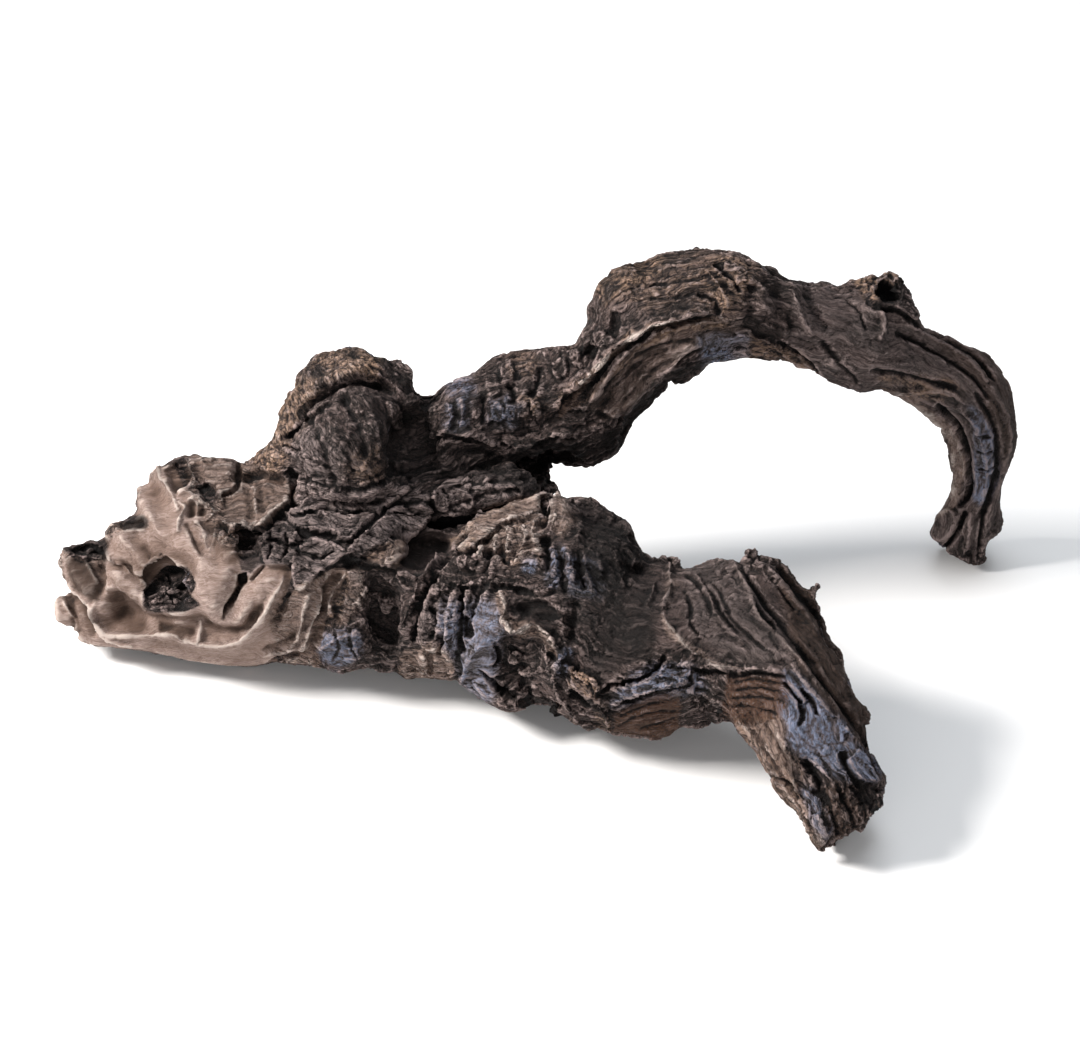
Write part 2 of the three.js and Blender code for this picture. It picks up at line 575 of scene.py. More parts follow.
@dataclass(frozen=True)
class Mark:
    """One form drawn on the board: half width, height, and line or outline as right and up in turn."""

    cut: Cut
    width: float
    height: float
    places: tuple[float, ...]

    STEP = 1.5  # between points of the smoothed line
    REACH = 4  # half widths that a mark can be felt over, and as many millimetres
    ENDS = 8  # a line's height rises from nothing over one part in this many at each end

    def relief(self, drawn: np.ndarray, wander: np.ndarray) -> np.ndarray:
        """How far the mark lifts each point.

        Args:
            drawn: Places on the board.
            wander: Small shifts on the board that make the line uneven.

        Returns:
            Lift per point, negative where wood is taken away.
        """
        points = paired(*self.places)
        outlined = self.cut in (Cut.SWELL, Cut.HOLLOW, Cut.PLATE)
        line = closed(points, self.STEP) if outlined else curve_through(points, self.STEP)
        reach = self.width * self.REACH + self.REACH
        lift = np.zeros(len(drawn))
        near = inside_box(drawn, line, reach)
        if len(near):
            found = measured(drawn[near] + wander[near], line, reach)
            lift[near] = self.height * (self._inside(found) if outlined else self._beside(found))
        return lift

    def _beside(self, found: Measured) -> np.ndarray:
        """Share of the height at a distance from the line, on a side of it, some way along it."""
        away = found.distance / self.width
        fade = np.sqrt(np.clip(np.minimum(found.share, 1 - found.share) * self.ENDS, 0, 1))
        if self.cut is Cut.RIDGE:
            return fade * (0.6 * np.exp(-1.3 * away) + 0.4 * bell(away))
        if self.cut is Cut.GROOVE:
            return -fade * bell(away)
        if self.cut is Cut.LIP:
            gentle = bell(away / 2.2)
            steep = bell(away / 0.3) - 0.6 * bell((away - 0.9) / 0.55)
            return fade * np.where(found.side > 0, gentle, steep)
        return -fade * np.clip(1 - away, 0, 1) ** 0.6

    def _inside(self, found: Measured) -> np.ndarray:
        """Share of the height at a distance inside or outside the outline."""
        inward = np.where(found.inside, found.distance, -found.distance) / self.width
        if self.cut is Cut.PLATE:
            rim = np.exp(-np.clip(inward, 0, None) / 5)
            return smoothstep(-0.6, 0.6, inward) * (0.6 + 0.4 * rim)
        amount = smoothstep(-0.3, 1.0, inward)
        return amount if self.cut is Cut.SWELL else -amount


def drawn_as(cut: Cut) -> Callable[..., Mark]:
    """Gives a short way to write marks of one kind.

    Args:
        cut: What the marks do.

    Returns:
        A function of half width, height and the line's places that makes the mark.
    """
    return lambda width, height, *places: Mark(cut, width, height, places)


ridge, groove, lip, crack, plate, swell, hollow = (drawn_as(cut) for cut in Cut)


@dataclass(frozen=True)
class Pull:
    """Wood drawn sideways on the board, round a spot, as far out as reach."""

    spot: tuple[float, float]
    reach: float
    shift: tuple[float, float]

    def sideways(self, drawn: np.ndarray) -> np.ndarray:
        """How far each point is drawn.

        Args:
            drawn: Places on the board.

        Returns:
            Rows of right and up: the whole shift at the spot, nothing from the reach on.
        """
        squared = ((drawn - np.array(self.spot)) ** 2).sum(1) / self.reach**2
        return (np.clip(1 - squared, 0, 1) ** 2)[:, None] * np.array(self.shift)


class Tone(Enum):
    """Finishes that a patch of the surface can lean to."""

    PALE = "worn"
    TAN = "tan"
    # Painted sheen: a blue-grey colour on high spots that stands in for a bluish reflection.
    BLUE = "blue"
    # Mostly painted shade, in hollows, under overhangs and on sides turned from the light; partly dark bark.
    DARK = "dark"
    RINGS = "rings"
    SMOOTH = "smooth"
    UPRIGHT = "upright"
    GRAINY = "grainy"
    GREY = "grey"
    # Painted brown shade in hollows and on sides turned from the light.
    BROWN = "brown"
    CRAGGY = "craggy"


@dataclass(frozen=True)
class Oval:
    """A soft-edged oval on the board with a tone: its middle, half sizes and strength."""

    tone: Tone
    middle: tuple[float, float]
    half: tuple[float, float]
    strength: float

    def share(self, drawn: np.ndarray, wander: np.ndarray) -> np.ndarray:
        """How strongly the oval covers each point.

        Args:
            drawn: Places on the board.
            wander: Shifts on the board that make the edge uneven.

        Returns:
            0 to strength.
        """
        right, up = ((drawn + wander - np.array(self.middle)) / self.half).T
        return self.strength * (1 - smoothstep(0.75, 1.25, np.hypot(right, up)))


@dataclass(frozen=True)
class Area:
    """A region on the board with a tone: how soft its edge is, its strength and its outline."""

    tone: Tone
    softness: float
    strength: float
    places: tuple[float, ...]

    STEP = 3.0  # between points of the smoothed outline

    def share(self, drawn: np.ndarray, wander: np.ndarray) -> np.ndarray:
        """How strongly the region covers each point.

        Args:
            drawn: Places on the board.
            wander: Shifts on the board that make the edge uneven, less so for a crisp region.

        Returns:
            0 to strength.
        """
        line = closed(paired(*self.places), self.STEP)
        spots = drawn + wander * min(1.0, 0.1 + self.softness / 8)
        near = inside_box(spots, line, self.softness)
        found = measured(spots[near], line, self.softness)
        inward = np.where(found.inside, 1, -1) * np.minimum(found.distance, self.softness)
        share = np.zeros(len(drawn))
        share[near] = self.strength * smoothstep(-self.softness, self.softness, inward)
        return share


def area(tone: Tone, softness: float, strength: float, *places: float) -> Area:
    """A short way to write a region.

    Args:
        tone: What it leans to.
        softness: How soft its edge is.
        strength: How strong it is inside.
        *places: Its outline, as right and up in turn.

    Returns:
        The region.
    """
    return Area(tone, softness, strength, places)


@dataclass(frozen=True)
class Edge:
    """The edge of the whole root as seen from the eye, drawn on the board."""

    points: np.ndarray

    STEP = 2.0  # between points of the smoothed edge
    HOLD = 0.8  # share of the way that rim points are brought out to the edge

    def shift(self, drawn: np.ndarray, rim: np.ndarray, reach: float, spare: float) -> np.ndarray:
        """Sideways shifts that bring the seen rim onto the edge.

        Args:
            drawn: Places on the board.
            rim: 1 for points on the rim as seen from the eye, falling to 0.
            reach: How far inside the edge a point is still brought to it.
            spare: How far outside a point may stay.

        Returns:
            Rows of right and up.
        """
        found = measured(drawn, closed(self.points, self.STEP), 4 * reach)
        outside = ~found.inside & (found.distance > spare) & np.isfinite(found.distance)
        within = found.inside & (found.distance < reach)
        amount = np.zeros(len(drawn))
        amount[outside] = 1 - spare / found.distance[outside]
        amount[within] = rim[within] * (1 - found.distance[within] / reach) * self.HOLD
        return found.gap * amount[:, None]


EDGE = Edge(paired(
    -304, -53, -302, -47, -296, -46, -296, -39, -300, -32, -301, -24, -299, -18, -294, -16, -285, -10,
    -280, -12, -271, -18, -270, -12, -271, -8, -268, -2, -262, 1, -251, 3, -249, 6, -252, 11, -253, 19,
    -251, 23, -248, 21, -245, 24, -244, 29, -240, 33, -234, 35, -228, 39, -219, 41, -214, 43, -211, 40,
    -194, 39, -186, 36, -181, 38, -177, 44, -170, 48, -164, 61, -162, 74, -159, 81, -154, 85, -152, 92,
    -146, 98, -138, 105, -125, 108, -114, 109, -105, 103, -91, 102, -84, 99, -79, 92, -82, 81, -76, 78,
    -71, 69, -66, 78, -62, 84, -54, 89, -38, 96, -31, 102, -22, 106, 3, 108, 17, 110, 21, 108, 24, 112,
    27, 127, 30, 135, 35, 146, 39, 154, 48, 159, 56, 162, 64, 166, 75, 168, 84, 171, 95, 172, 114, 169,
    126, 167, 136, 161, 147, 158, 154, 152, 178, 150, 183, 151, 188, 156, 193, 156, 197, 153, 211, 155,
    220, 156, 228, 151, 233, 141, 238, 124, 247, 119, 261, 114, 276, 107, 283, 102, 290, 92, 295, 81,
    298, 54, 296, 41, 290, 26, 288, 16, 289, -5, 279, -16, 278, -24, 271, -28, 259, -22, 247, -14, 244, -9,
    246, 0, 255, 15, 258, 23, 256, 38, 252, 52, 246, 61, 236, 69, 228, 74, 212, 79, 199, 79, 186, 82,
    178, 85, 168, 92, 150, 98, 131, 102, 114, 99, 104, 98, 100, 93, 89, 85, 79, 81, 69, 72, 59, 62, 54, 52,
    49, 43, 44, 39, 31, 33, 24, 32, 17, 34, 4, 31, 3, 24, 8, 26, 12, 21, 16, 15, 28, 16, 34, 14, 38, 10,
    49, 3, 56, -1, 60, -12, 63, -17, 72, -23, 76, -23, 81, -19, 86, -24, 90, -29, 100, -27, 112, -22,
    121, -26, 124, -27, 131, -17, 134, -18, 136, -21, 150, -24, 159, -29, 163, -34, 164, -41, 170, -42,
    174, -39, 175, -46, 178, -59, 182, -74, 189, -82, 196, -102, 199, -112, 206, -120, 208, -137,
    214, -149, 221, -163, 216, -168, 217, -179, 206, -189, 200, -196, 192, -198, 182, -206, 179, -209,
    174, -206, 165, -194, 153, -179, 144, -162, 134, -144, 129, -138, 123, -131, 121, -124, 103, -129,
    95, -130, 88, -129, 84, -133, 72, -137, 49, -136, 40, -132, 28, -132, 20, -126, 12, -121, 3, -116,
    -9, -116, -18, -119, -31, -114, -39, -110, -49, -102, -62, -99, -72, -98, -85, -99, -89, -94, -97, -95,
    -108, -92, -118, -94, -125, -96, -139, -91, -159, -89, -188, -91, -219, -88, -244, -82, -269, -79,
    -282, -78, -288, -74, -289, -68, -301, -65,
))

PULLS: tuple[Pull, ...] = (
    # Tongues of the butt and the foot's end, drawn out before the edge is trued.
    Pull((-300, -53), 16, (-6, 0)),
    Pull((-292, -28), 14, (-4, 2)),
    Pull((-285, -72), 15, (-5, -2)),
    Pull((22, 126), 19, (9, -4)),
    Pull((268, -24), 25, (0, 8)),
    Pull((270, 99), 16, (2, 2)),
    Pull((-71, 76), 8, (0, -8)),
    Pull((174, -41), 8, (2, 4)),
    Pull((7, 23), 9, (0, 3)),
)

MARKS: tuple[Mark, ...] = (
    # The butt's lower lip, with the basin behind it.
    hollow(
        9, 10, -274, -48, -268, -42, -253, -49, -244, -57, -228, -58, -212, -57, -197, -66, -188, -62,
        -179, -52, -172, -53, -180, -68, -198, -75, -216, -73, -231, -68, -244, -68, -259, -69, -271, -64,
    ),
    ridge(
        4, 4, -278, -49, -278, -62, -272, -69, -252, -73, -231, -71, -216, -76, -198, -79, -186, -75,
        -176, -66, -168, -48, -160, -33,
    ),
    ridge(
        1.3, 4, -278, -49, -279, -57, -278, -63, -273, -69, -266, -72, -252, -72, -241, -71, -231, -71,
        -223, -74, -216, -76, -206, -78, -198, -78, -186, -74, -178, -67, -172, -58, -168, -48, -162, -39,
        -160, -32,
    ),
    hollow(3, 4, -271, -44, -264, -43, -254, -56, -246, -67, -256, -68, -266, -63),
    hollow(2, 3, -238, -63, -216, -66, -217, -73, -229, -70, -238, -69),
    ridge(1.3, 3, -212, -59, -212, -68, -214, -76),
    # Fingers and shells on the butt's left.
    ridge(7, 6, -298, -19, -291, -29, -285, -39, -279, -48),
    groove(2.5, 6, -275, -24, -274, -37, -277, -47),
    ridge(1.2, 4, -295, -37, -288, -47, -281, -52, -279, -59, -276, -69, -266, -75, -254, -78),
    ridge(1.2, 4, -298, -50, -291, -61, -289, -69, -285, -76),
    groove(2, 4, -292, -46, -285, -53, -281, -63, -279, -73),
    groove(2, 4, -296, -43, -292, -56, -290, -66),
    ridge(5, 4, -300, -49, -300, -63),
    hollow(2, 5, -295, -18, -285, -13, -274, -17, -272, -24, -280, -22, -288, -21),
    ridge(1.2, 4, -299, -18, -290, -22, -285, -24, -280, -33, -276, -39),
    ridge(1.1, 3, -285, -24, -282, -18, -280, -16),
    hollow(1.6, 5, -266, 0, -258, 1, -249, 2, -248, -4, -255, -5, -264, -4),
    ridge(1.2, 3, -271, -12, -269, -6, -266, -3, -256, -5, -246, -6),
    # The petal over the knot hole and its flutes.
    hollow(
        14, 9, -268, -16, -259, -9, -244, -3, -230, -8, -220, -19, -215, -32, -219, -42, -231, -44,
        -244, -46, -256, -36, -266, -26,
    ),
    ridge(3, 3, -248, 14, -244, 4, -236, -12),
    groove(5, 2, -246, 29, -239, 13, -232, -8),
    ridge(3, 3, -264, -7, -258, -17, -250, -27),
    groove(3, 3, -256, -8, -249, -18, -240, -28),
    groove(2.6, 9, -269, -26, -262, -29, -258, -35, -251, -40, -246, -46),
    ridge(1.4, 3, -271, -15, -268, -24, -261, -27, -256, -33, -249, -38, -246, -44),
    # The knot hole, craggy inside.
    swell(5, 6, -245, -39, -240, -32, -234, -27, -224, -26, -218, -32, -219, -38, -231, -37, -240, -41),
    swell(8, 13, -244, -46, -234, -33, -221, -33, -218, -44, -222, -53, -241, -53),
    hollow(
        1.4, 3, -248, -46, -246, -41, -239, -36, -234, -29, -222, -29, -216, -37, -219, -44, -215, -51,
        -222, -56, -234, -54, -246, -55,
    ),
    crack(1.2, 3, -245, -48, -238, -44, -231, -46, -221, -49),
    crack(1.2, 3, -234, -32, -231, -39, -234, -46),
    crack(1.1, 3, -231, -39, -225, -41, -219, -39),
    crack(1.1, 3, -231, -46, -229, -53),
    # The boss, the split and the lobe right of them.
    swell(
        9, 6, -214, -19, -203, -22, -190, -26, -189, -34, -194, -48, -199, -58, -209, -58, -215, -49,
        -218, -40, -218, -28,
    ),
    hollow(
        1.3, 10, -189, -34, -184, -32, -183, -37, -187, -42, -191, -50, -195, -56, -198, -62, -197, -54,
        -193, -47, -189, -40,
    ),
    crack(1.2, 5, -181, -37, -176, -32, -172, -28),
    swell(
        8, 6, -189, -48, -182, -39, -174, -32, -162, -32, -165, -44, -174, -58, -184, -67, -193, -67,
        -194, -61,
    ),
    groove(1.3, 0.8, -181, -42, -178, -51, -181, -62),
    groove(1.3, 0.8, -174, -37, -171, -47, -178, -59),
    # The twisted fold, the brown fold and the black pocket.
    hollow(4, 3, -219, -2, -211, 2, -200, -1, -200, -15, -208, -22, -214, -18),
    ridge(2.4, 3.5, -216, 1, -210, -8, -208, -21),
    ridge(2.4, 3.5, -204, 2, -202, -9, -206, -22),
    groove(1.5, 3, -221, -1, -216, -12, -211, -22),
    swell(4, 4, -199, -7, -188, -6, -188, -17, -189, -24, -199, -26, -202, -17),
    hollow(2.6, 5, -188, -5, -175, -4, -178, -12, -181, -18, -187, -18, -189, -12),
    # Pockets with thin rims on the butt's top.
    hollow(2, 4, -235, 32, -228, 37, -221, 36, -217, 27, -221, 21, -228, 17, -232, 23),
    ridge(1.1, 4, -239, 34, -236, 27, -232, 21, -228, 13, -226, 6),
    ridge(1.1, 4, -220, 39, -219, 32, -215, 25, -220, 20, -227, 15),
    ridge(1, 3.5, -227, 13, -221, 17, -214, 14, -208, 11, -204, 6),
    ridge(1, 3.5, -226, 12, -222, 8, -225, 2, -226, -7),
    ridge(1, 3, -222, 8, -219, 13, -216, 14),
    ridge(1, 3, -209, 0, -204, 5, -208, 11),
    hollow(1.2, 4, -222, 12, -216, 12, -215, 4, -220, 2),
    hollow(1.2, 5, -214, 11, -209, 9, -209, 3, -214, 4),
    hollow(2, 4, -214, 21, -209, 24, -202, 22, -204, 14, -210, 12),
    swell(4, 4, -215, 37, -206, 38, -192, 37, -190, 27, -201, 24, -211, 26),
    crack(1.5, 6, -188, 37, -188, 29, -190, 21, -199, 15),
    groove(2, 4, -185, 27, -174, 29, -159, 24),
    # Streaked bark with a scalloped lower edge.
    groove(1.8, 1.8, -184, 23, -181, 10, -181, -1),
    groove(1.8, 1.8, -175, 24, -174, 10, -171, 1),
    ridge(2, 1.6, -178, 22, -178, 10, -176, -2),
    lip(2.2, 7, -200, 1, -192, -6, -184, -3, -174, -5, -169, 1, -162, 7, -155, 13),
    crack(1.4, 6, -153, 29, -154, 19, -155, 13, -151, 8),
    crack(1.2, 5, -174, -16, -166, -12, -156, -16, -148, -12),
    crack(1.2, 5, -169, -6, -168, -15, -170, -24),
    crack(1.2, 5, -159, -8, -158, -18, -162, -26),
    crack(1.2, 4, -151, -9, -151, -22),
    # Flat plates of bark between the butt and the middle.
    plate(1, 5, -152, 26, -139, 24, -131, 19, -136, 13, -147, 8, -152, 13),
    plate(
        1, 6, -160, 4, -150, 8, -134, 14, -128, 21, -112, 19, -92, 27, -80, 22, -90, 13, -101, 4, -110, -4,
        -118, -12, -126, -12, -129, -8, -150, -6,
    ),
    plate(
        1, 7, -90, 9, -78, 11, -69, 10, -68, 1, -76, -6, -85, -12, -86, -19, -91, -28, -109, -28,
        -119, -26, -122, -22, -118, -15, -109, -7, -99, 1,
    ),
    plate(
        1, 5, -150, -15, -140, -11, -126, -16, -122, -22, -131, -29, -140, -34, -146, -42, -152, -43,
        -155, -31,
    ),
    plate(1, 4, -173, -8, -160, -1, -150, -9, -152, -22, -156, -28, -172, -26),
    hollow(2, 4, -114, -24, -102, -17, -94, -17, -96, -26, -106, -28),
    swell(2, 2.5, -96, -12, -89, -12, -88, -21, -95, -22),
    crack(1, 3.5, -98, 1, -90, 4, -81, 2, -75, 6),
    crack(1, 3.5, -150, 3, -134, 6, -120, 3, -109, 6),
    crack(1, 3.5, -142, -22, -135, -23, -128, -19),
    # Curtain folds, the block and the lump under them.
    hollow(3, 5, -136, -37, -126, -32, -121, -36, -125, -47, -132, -57, -142, -64, -141, -49),
    ridge(1.6, 4.5, -121, -33, -128, -42, -131, -49, -129, -61),
    ridge(1.6, 4.5, -136, -41, -140, -53, -144, -68, -150, -81),
    ridge(1.6, 4, -144, -44, -148, -57, -151, -72, -158, -81),
    groove(2, 2, -156, -44, -161, -54, -165, -64),
    ridge(1.3, 2.2, -174, -85, -162, -81, -150, -79, -142, -77),
    groove(1.3, 2.5, -174, -81, -161, -76, -151, -71),
    groove(1.3, 2.5, -169, -88, -156, -84, -144, -82),
    swell(
        3, 3, -121, -31, -112, -26, -108, -32, -109, -47, -114, -57, -119, -63, -129, -64, -122, -49,
        -121, -40,
    ),
    swell(6, 8, -141, -76, -136, -67, -125, -62, -111, -62, -108, -74, -111, -87, -122, -92, -134, -88),
    ridge(1.3, 3.5, -138, -63, -125, -68, -115, -64, -108, -61),
    ridge(1.5, 2, -138, -81, -125, -73, -111, -69),
    crack(1, 2, -129, -69, -126, -79, -130, -88),
    crack(1, 2, -118, -67, -119, -78, -114, -87),
    hollow(5, 6, -108, -33, -91, -29, -85, -37, -86, -49, -88, -74, -92, -84, -105, -82, -109, -65),
    swell(2, 5, -100, -47, -92, -46, -92, -56, -99, -57),
    # The burl: the furrow between its lobes and its shaded side.
    groove(2.8, 11, -159, 51, -153, 60, -146, 70, -134, 79, -122, 86, -112, 88, -101, 86, -89, 81),
    swell(9, 4, -151, 76, -131, 93, -112, 102, -91, 99, -84, 91, -101, 91, -122, 91, -139, 81, -150, 68),
    swell(
        9, 5, -149, 58, -131, 76, -112, 82, -96, 78, -90, 63, -100, 51, -101, 32, -118, 22, -136, 27,
        -150, 41,
    ),
    swell(5, 4, -118, 34, -105, 38, -99, 29, -106, 21, -118, 21),
    lip(3, 6, -152, 22, -138, 19, -118, 19, -101, 24),
    hollow(7, 12, -94, 63, -84, 71, -72, 69, -62, 57, -62, 34, -81, 24, -96, 28),
    crack(1.6, 5, -161, 48, -152, 44, -146, 37),
    groove(2, 6, -158, 32, -154, 26, -152, 18),
    lip(1.6, 3, -158, 53, -150, 61, -140, 68, -131, 76),
    ridge(3, 3, -118, 82, -109, 71, -104, 54, -101, 37),
    groove(2.4, 3, -125, 79, -116, 67, -111, 51, -109, 38),
    ridge(2.6, 2.5, -136, 73, -129, 58, -124, 42, -120, 26),
    groove(2, 2.5, -145, 66, -138, 49, -132, 33, -128, 21),
    ridge(2, 2, -152, 56, -146, 41, -141, 23),
    hollow(3, 9, -79, 84, -71, 68, -62, 86),
    plate(1.2, 3, -96, 74, -89, 73, -86, 64, -89, 57, -94, 63),
    # The neck of the back root and the black space under it.
    lip(1.8, 5, -25, 51, -18, 48, -10, 46, -4, 49, 3, 51, 11, 54, 24, 52),
    plate(1.1, 2.5, -14, 51, -4, 50, 3, 43, -2, 38, -8, 42, -16, 46),
    plate(1, 2, -31, 72, -25, 74, -22, 64, -30, 62),
    plate(1, 2, -21, 73, -16, 73, -16, 64, -21, 64),
    plate(1, 2.4, -15, 76, -9, 74, -8, 67, -14, 65),
    plate(1, 2, -6, 76, 0, 73, 1, 66, -5, 67),
    plate(1, 1.5, -44, 74, -39, 76, -38, 66, -42, 64),
    plate(1, 2, -35, 89, -28, 92, -25, 81, -32, 78),
    plate(1, 3.5, -25, 97, -18, 99, -16, 88, -23, 86),
    plate(1, 3.5, 8, 99, 15, 102, 18, 92, 10, 89),
    ridge(2, 1.6, -58, 76, -56, 66, -59, 58),
    ridge(2.4, 2, -51, 77, -49, 68, -50, 59),
    groove(1.8, 2, -54, 76, -52, 67, -55, 57),
    groove(1.8, 3, -35, 78, -35, 69, -36, 59),
    groove(1.8, 5, -19, 86, -16, 78, -18, 73),
    groove(2, 5, 0, 97, -2, 86, -6, 77),
    groove(3, 6, -62, 47, -50, 43, -34, 44, -25, 37),
    lip(2, 5, -69, 52, -55, 54, -39, 51, -25, 47),
    swell(6, 5, -25, 41, 3, 43, 16, 34, 8, 22, 10, 13, 0, 9, -12, 13, -25, 26),
    # The slab and the gap under it.
    plate(
        1.4, 4, -68, 19, -59, 24, -44, 27, -25, 29, -6, 30, 3, 27, 0, 19, -16, 13, -31, 8, -45, 3, -58, 4,
        -66, 10,
    ),
    groove(1.1, 1.6, -62, 17, -47, 22, -25, 24, -6, 26),
    groove(1.1, 1.6, -59, 9, -44, 13, -31, 18, -12, 19),
    ridge(1, 2.5, -49, 14, -46, 18, -42, 15, -44, 10, -49, 11),
    hollow(2, 11, -72, 0, -59, 3, -41, 3, -46, -1, -58, -4, -69, -4),
    # The hump: pitted above the edge, smooth facets below it.
    lip(2.4, 7, 10, 67, 15, 78, 25, 86, 35, 92, 45, 106, 62, 116, 70, 122, 81, 124, 100, 129, 114, 127),
    ridge(2, 3.5, 31, 73, 40, 86, 50, 101, 62, 112),
    groove(2.6, 5, 38, 69, 49, 84, 62, 97, 80, 106),
    groove(1.2, 2, 38, 78, 51, 94, 68, 107, 85, 112, 100, 113),
    ridge(1.4, 2, 41, 76, 54, 89, 69, 102, 88, 108),
    groove(1.2, 2, 48, 71, 60, 84, 75, 97, 94, 106),
    lip(2, 6, 44, 58, 52, 69, 62, 81, 75, 92, 94, 107, 102, 109),
    groove(2, 4, 35, 68, 45, 63, 52, 69),
    hollow(2, 3.5, 44, 131, 49, 131, 49, 116, 42, 112),
    hollow(2, 6, 28, 111, 37, 109, 35, 101, 28, 103),
    plate(1.2, 4, 34, 117, 40, 119, 46, 113, 40, 109, 35, 111),
    plate(1.2, 5, 20, 106, 26, 106, 26, 97, 21, 99),
    plate(1.2, 4, 24, 91, 31, 96, 35, 91, 28, 86),
    groove(1.4, 2, 68, 139, 85, 140, 100, 144),
    groove(1.4, 2, 62, 144, 80, 149, 100, 152),
    groove(1.8, 4, 98, 143, 108, 138, 112, 129),
    ridge(1.8, 4, 103, 157, 111, 148, 119, 134),
    ridge(1.8, 3, 114, 163, 124, 157, 132, 149),
    groove(1.8, 4, 109, 162, 119, 153, 126, 143),
    # Folds behind the hump, the bump and the stub.
    groove(4, 4.5, 132, 149, 132, 135, 130, 119),
    ridge(2.6, 3.5, 140, 148, 139, 138, 144, 127),
    hollow(5, 4, 135, 128, 150, 135, 154, 119, 148, 109, 132, 116),
    groove(3, 5, 146, 148, 150, 136, 160, 116),
    ridge(2.4, 4, 156, 147, 161, 132, 170, 116),
    groove(3, 4, 166, 148, 170, 134, 179, 119),
    crack(1.4, 5, 148, 113, 158, 106, 169, 98, 175, 87),
    ridge(2, 3, 122, 117, 138, 113, 154, 104, 166, 93),
    swell(2.5, 4, 186, 152, 191, 157, 197, 154, 195, 148, 188, 148),
    hollow(1.6, 10, 211, 146, 215, 151, 225, 146, 224, 138, 214, 136, 210, 141),
    ridge(2, 4, 215, 148, 218, 154, 224, 151),
    lip(2, 5, 205, 139, 212, 134, 222, 134, 236, 126),
    ridge(2.4, 4, 208, 148, 209, 138, 215, 126, 212, 113),
    crack(1, 2, 191, 138, 199, 131, 204, 119),
    # Long furrows that follow the hook.
    groove(1.8, 4, 175, 113, 188, 97, 199, 86),
    groove(1.8, 4, 206, 93, 225, 91, 244, 87, 261, 82),
    groove(1.8, 5, 222, 119, 238, 111, 256, 101, 272, 89, 281, 76),
    groove(1.6, 4, 232, 124, 253, 114, 272, 103, 285, 86),
    ridge(2, 4, 225, 126, 244, 114, 266, 102, 280, 86),
    ridge(2, 4, 218, 81, 234, 81, 252, 81, 266, 73),
    groove(1.8, 9, 248, 73, 256, 64, 262, 56, 266, 44, 268, 29, 268, 16, 261, 9),
    ridge(2.2, 4, 225, 78, 241, 69, 253, 56, 259, 41, 261, 26, 258, 13),
    ridge(2.2, 4.5, 261, 73, 271, 61, 278, 44, 279, 26, 276, 10),
    groove(1.6, 6, 272, 81, 282, 63, 286, 44, 284, 26, 279, 10, 273, -1),
    ridge(2.4, 4, 281, 85, 291, 66, 293, 48, 288, 29),
    crack(0.9, 2.5, 272, 54, 282, 52),
    crack(0.9, 2.5, 272, 43, 284, 43),
    crack(0.9, 2.5, 274, 32, 284, 33),
    plate(1.2, 4, 248, -1, 255, 8, 262, 3, 259, -6, 253, -12, 246, -9),
    crack(1.6, 8, 266, 6, 261, -6, 256, -13, 252, -18),
    ridge(2, 3.5, 269, 7, 268, -6, 264, -22),
    crack(1.6, 6, 278, 7, 276, -6, 274, -23),
    # The crest of the front root, its tan band and the flakes under it.
    swell(
        3.5, 5, -59, -16, -49, -6, -38, 4, -25, 10, -11, 14, 4, 19, 6, 12, -6, 6, -21, 1, -31, -6,
        -42, -16, -52, -20,
    ),
    ridge(2.6, 2, 6, 12, 8, 22, 12, 18, 17, 12),
    ridge(2, 1.2, 8, 18, 6, 8, 4, -2),
    groove(1.2, 1.2, 12, 13, 12, 3, 10, -7),
    groove(2, 7, 2, 17, 3, 8, 2, -3),
    swell(6, 2, 5, 13, 16, 12, 22, 1, 16, -12, 8, -9, 4, 3),
    groove(1.3, 1.5, -52, -16, -38, -2, -19, 7, 0, 13),
    groove(1.3, 1.2, -44, -11, -29, 1, -12, 8),
    lip(2.2, 3, -55, -19, -44, -18, -31, -8, -22, -1, -9, 2, 0, 5),
    ridge(2.4, 5, -88, -31, -76, -37, -69, -32, -64, -28, -59, -21),
    ridge(1.2, 3.5, -88, -31, -76, -37, -69, -32, -64, -28, -59, -21),
    hollow(6, 8, -89, -12, -78, -7, -58, -8, -56, -18, -69, -29, -85, -29),
    ridge(1.8, 3, -45, -16, -48, -24, -50, -32),
    ridge(2.4, 3.5, -36, -12, -38, -22, -42, -31),
    ridge(1.6, 2.5, -26, -7, -28, -17, -26, -26),
    ridge(2.4, 4, -18, -2, -21, -12, -18, -22),
    ridge(1.8, 3, -11, -1, -9, -9, -12, -18),
    ridge(2.2, 4, -2, 1, -4, -9, 0, -19),
    ridge(1.8, 3, 8, -13, 10, -24, 8, -36),
    ridge(2.6, 4, 16, -14, 19, -26, 21, -39),
    ridge(1.8, 3, 28, -19, 29, -32, 34, -47),
    ridge(1.6, 3, 37, -24, 39, -36),
    groove(2.2, 4, -22, -9, -24, -19, -21, -28),
    groove(2.4, 5, 3, -9, 5, -22, 4, -32),
    groove(2, 4, 12, -19, 14, -33, 16, -47),
    groove(2.4, 5, 24, -17, 25, -31, 29, -44),
    groove(1.8, 3, -31, -17, -32, -26, -36, -34),
    ridge(1, 2.5, -20, -22, -16, -18, -12, -21, -16, -26),
    # Upright ridges down the middle.
    ridge(1.8, 5, -76, -38, -78, -47, -82, -57, -85, -72),
    ridge(2.6, 6, -62, -42, -69, -49, -73, -62, -72, -79),
    ridge(2.6, 6, -49, -36, -55, -46, -59, -59, -59, -74, -55, -88),
    ridge(1.6, 5, -41, -38, -45, -48, -45, -58),
    ridge(1.6, 4, -34, -35, -39, -47, -41, -58),
    ridge(1.8, 4, -29, -24, -30, -37, -34, -49),
    groove(1.8, 8, -65, -33, -72, -44, -78, -57, -80, -76),
    groove(1.8, 9, -55, -38, -59, -49, -62, -65, -64, -84),
    groove(1.8, 8, -46, -42, -50, -57, -51, -74, -49, -84),
    groove(1.5, 5, -37, -43, -41, -53, -44, -62),
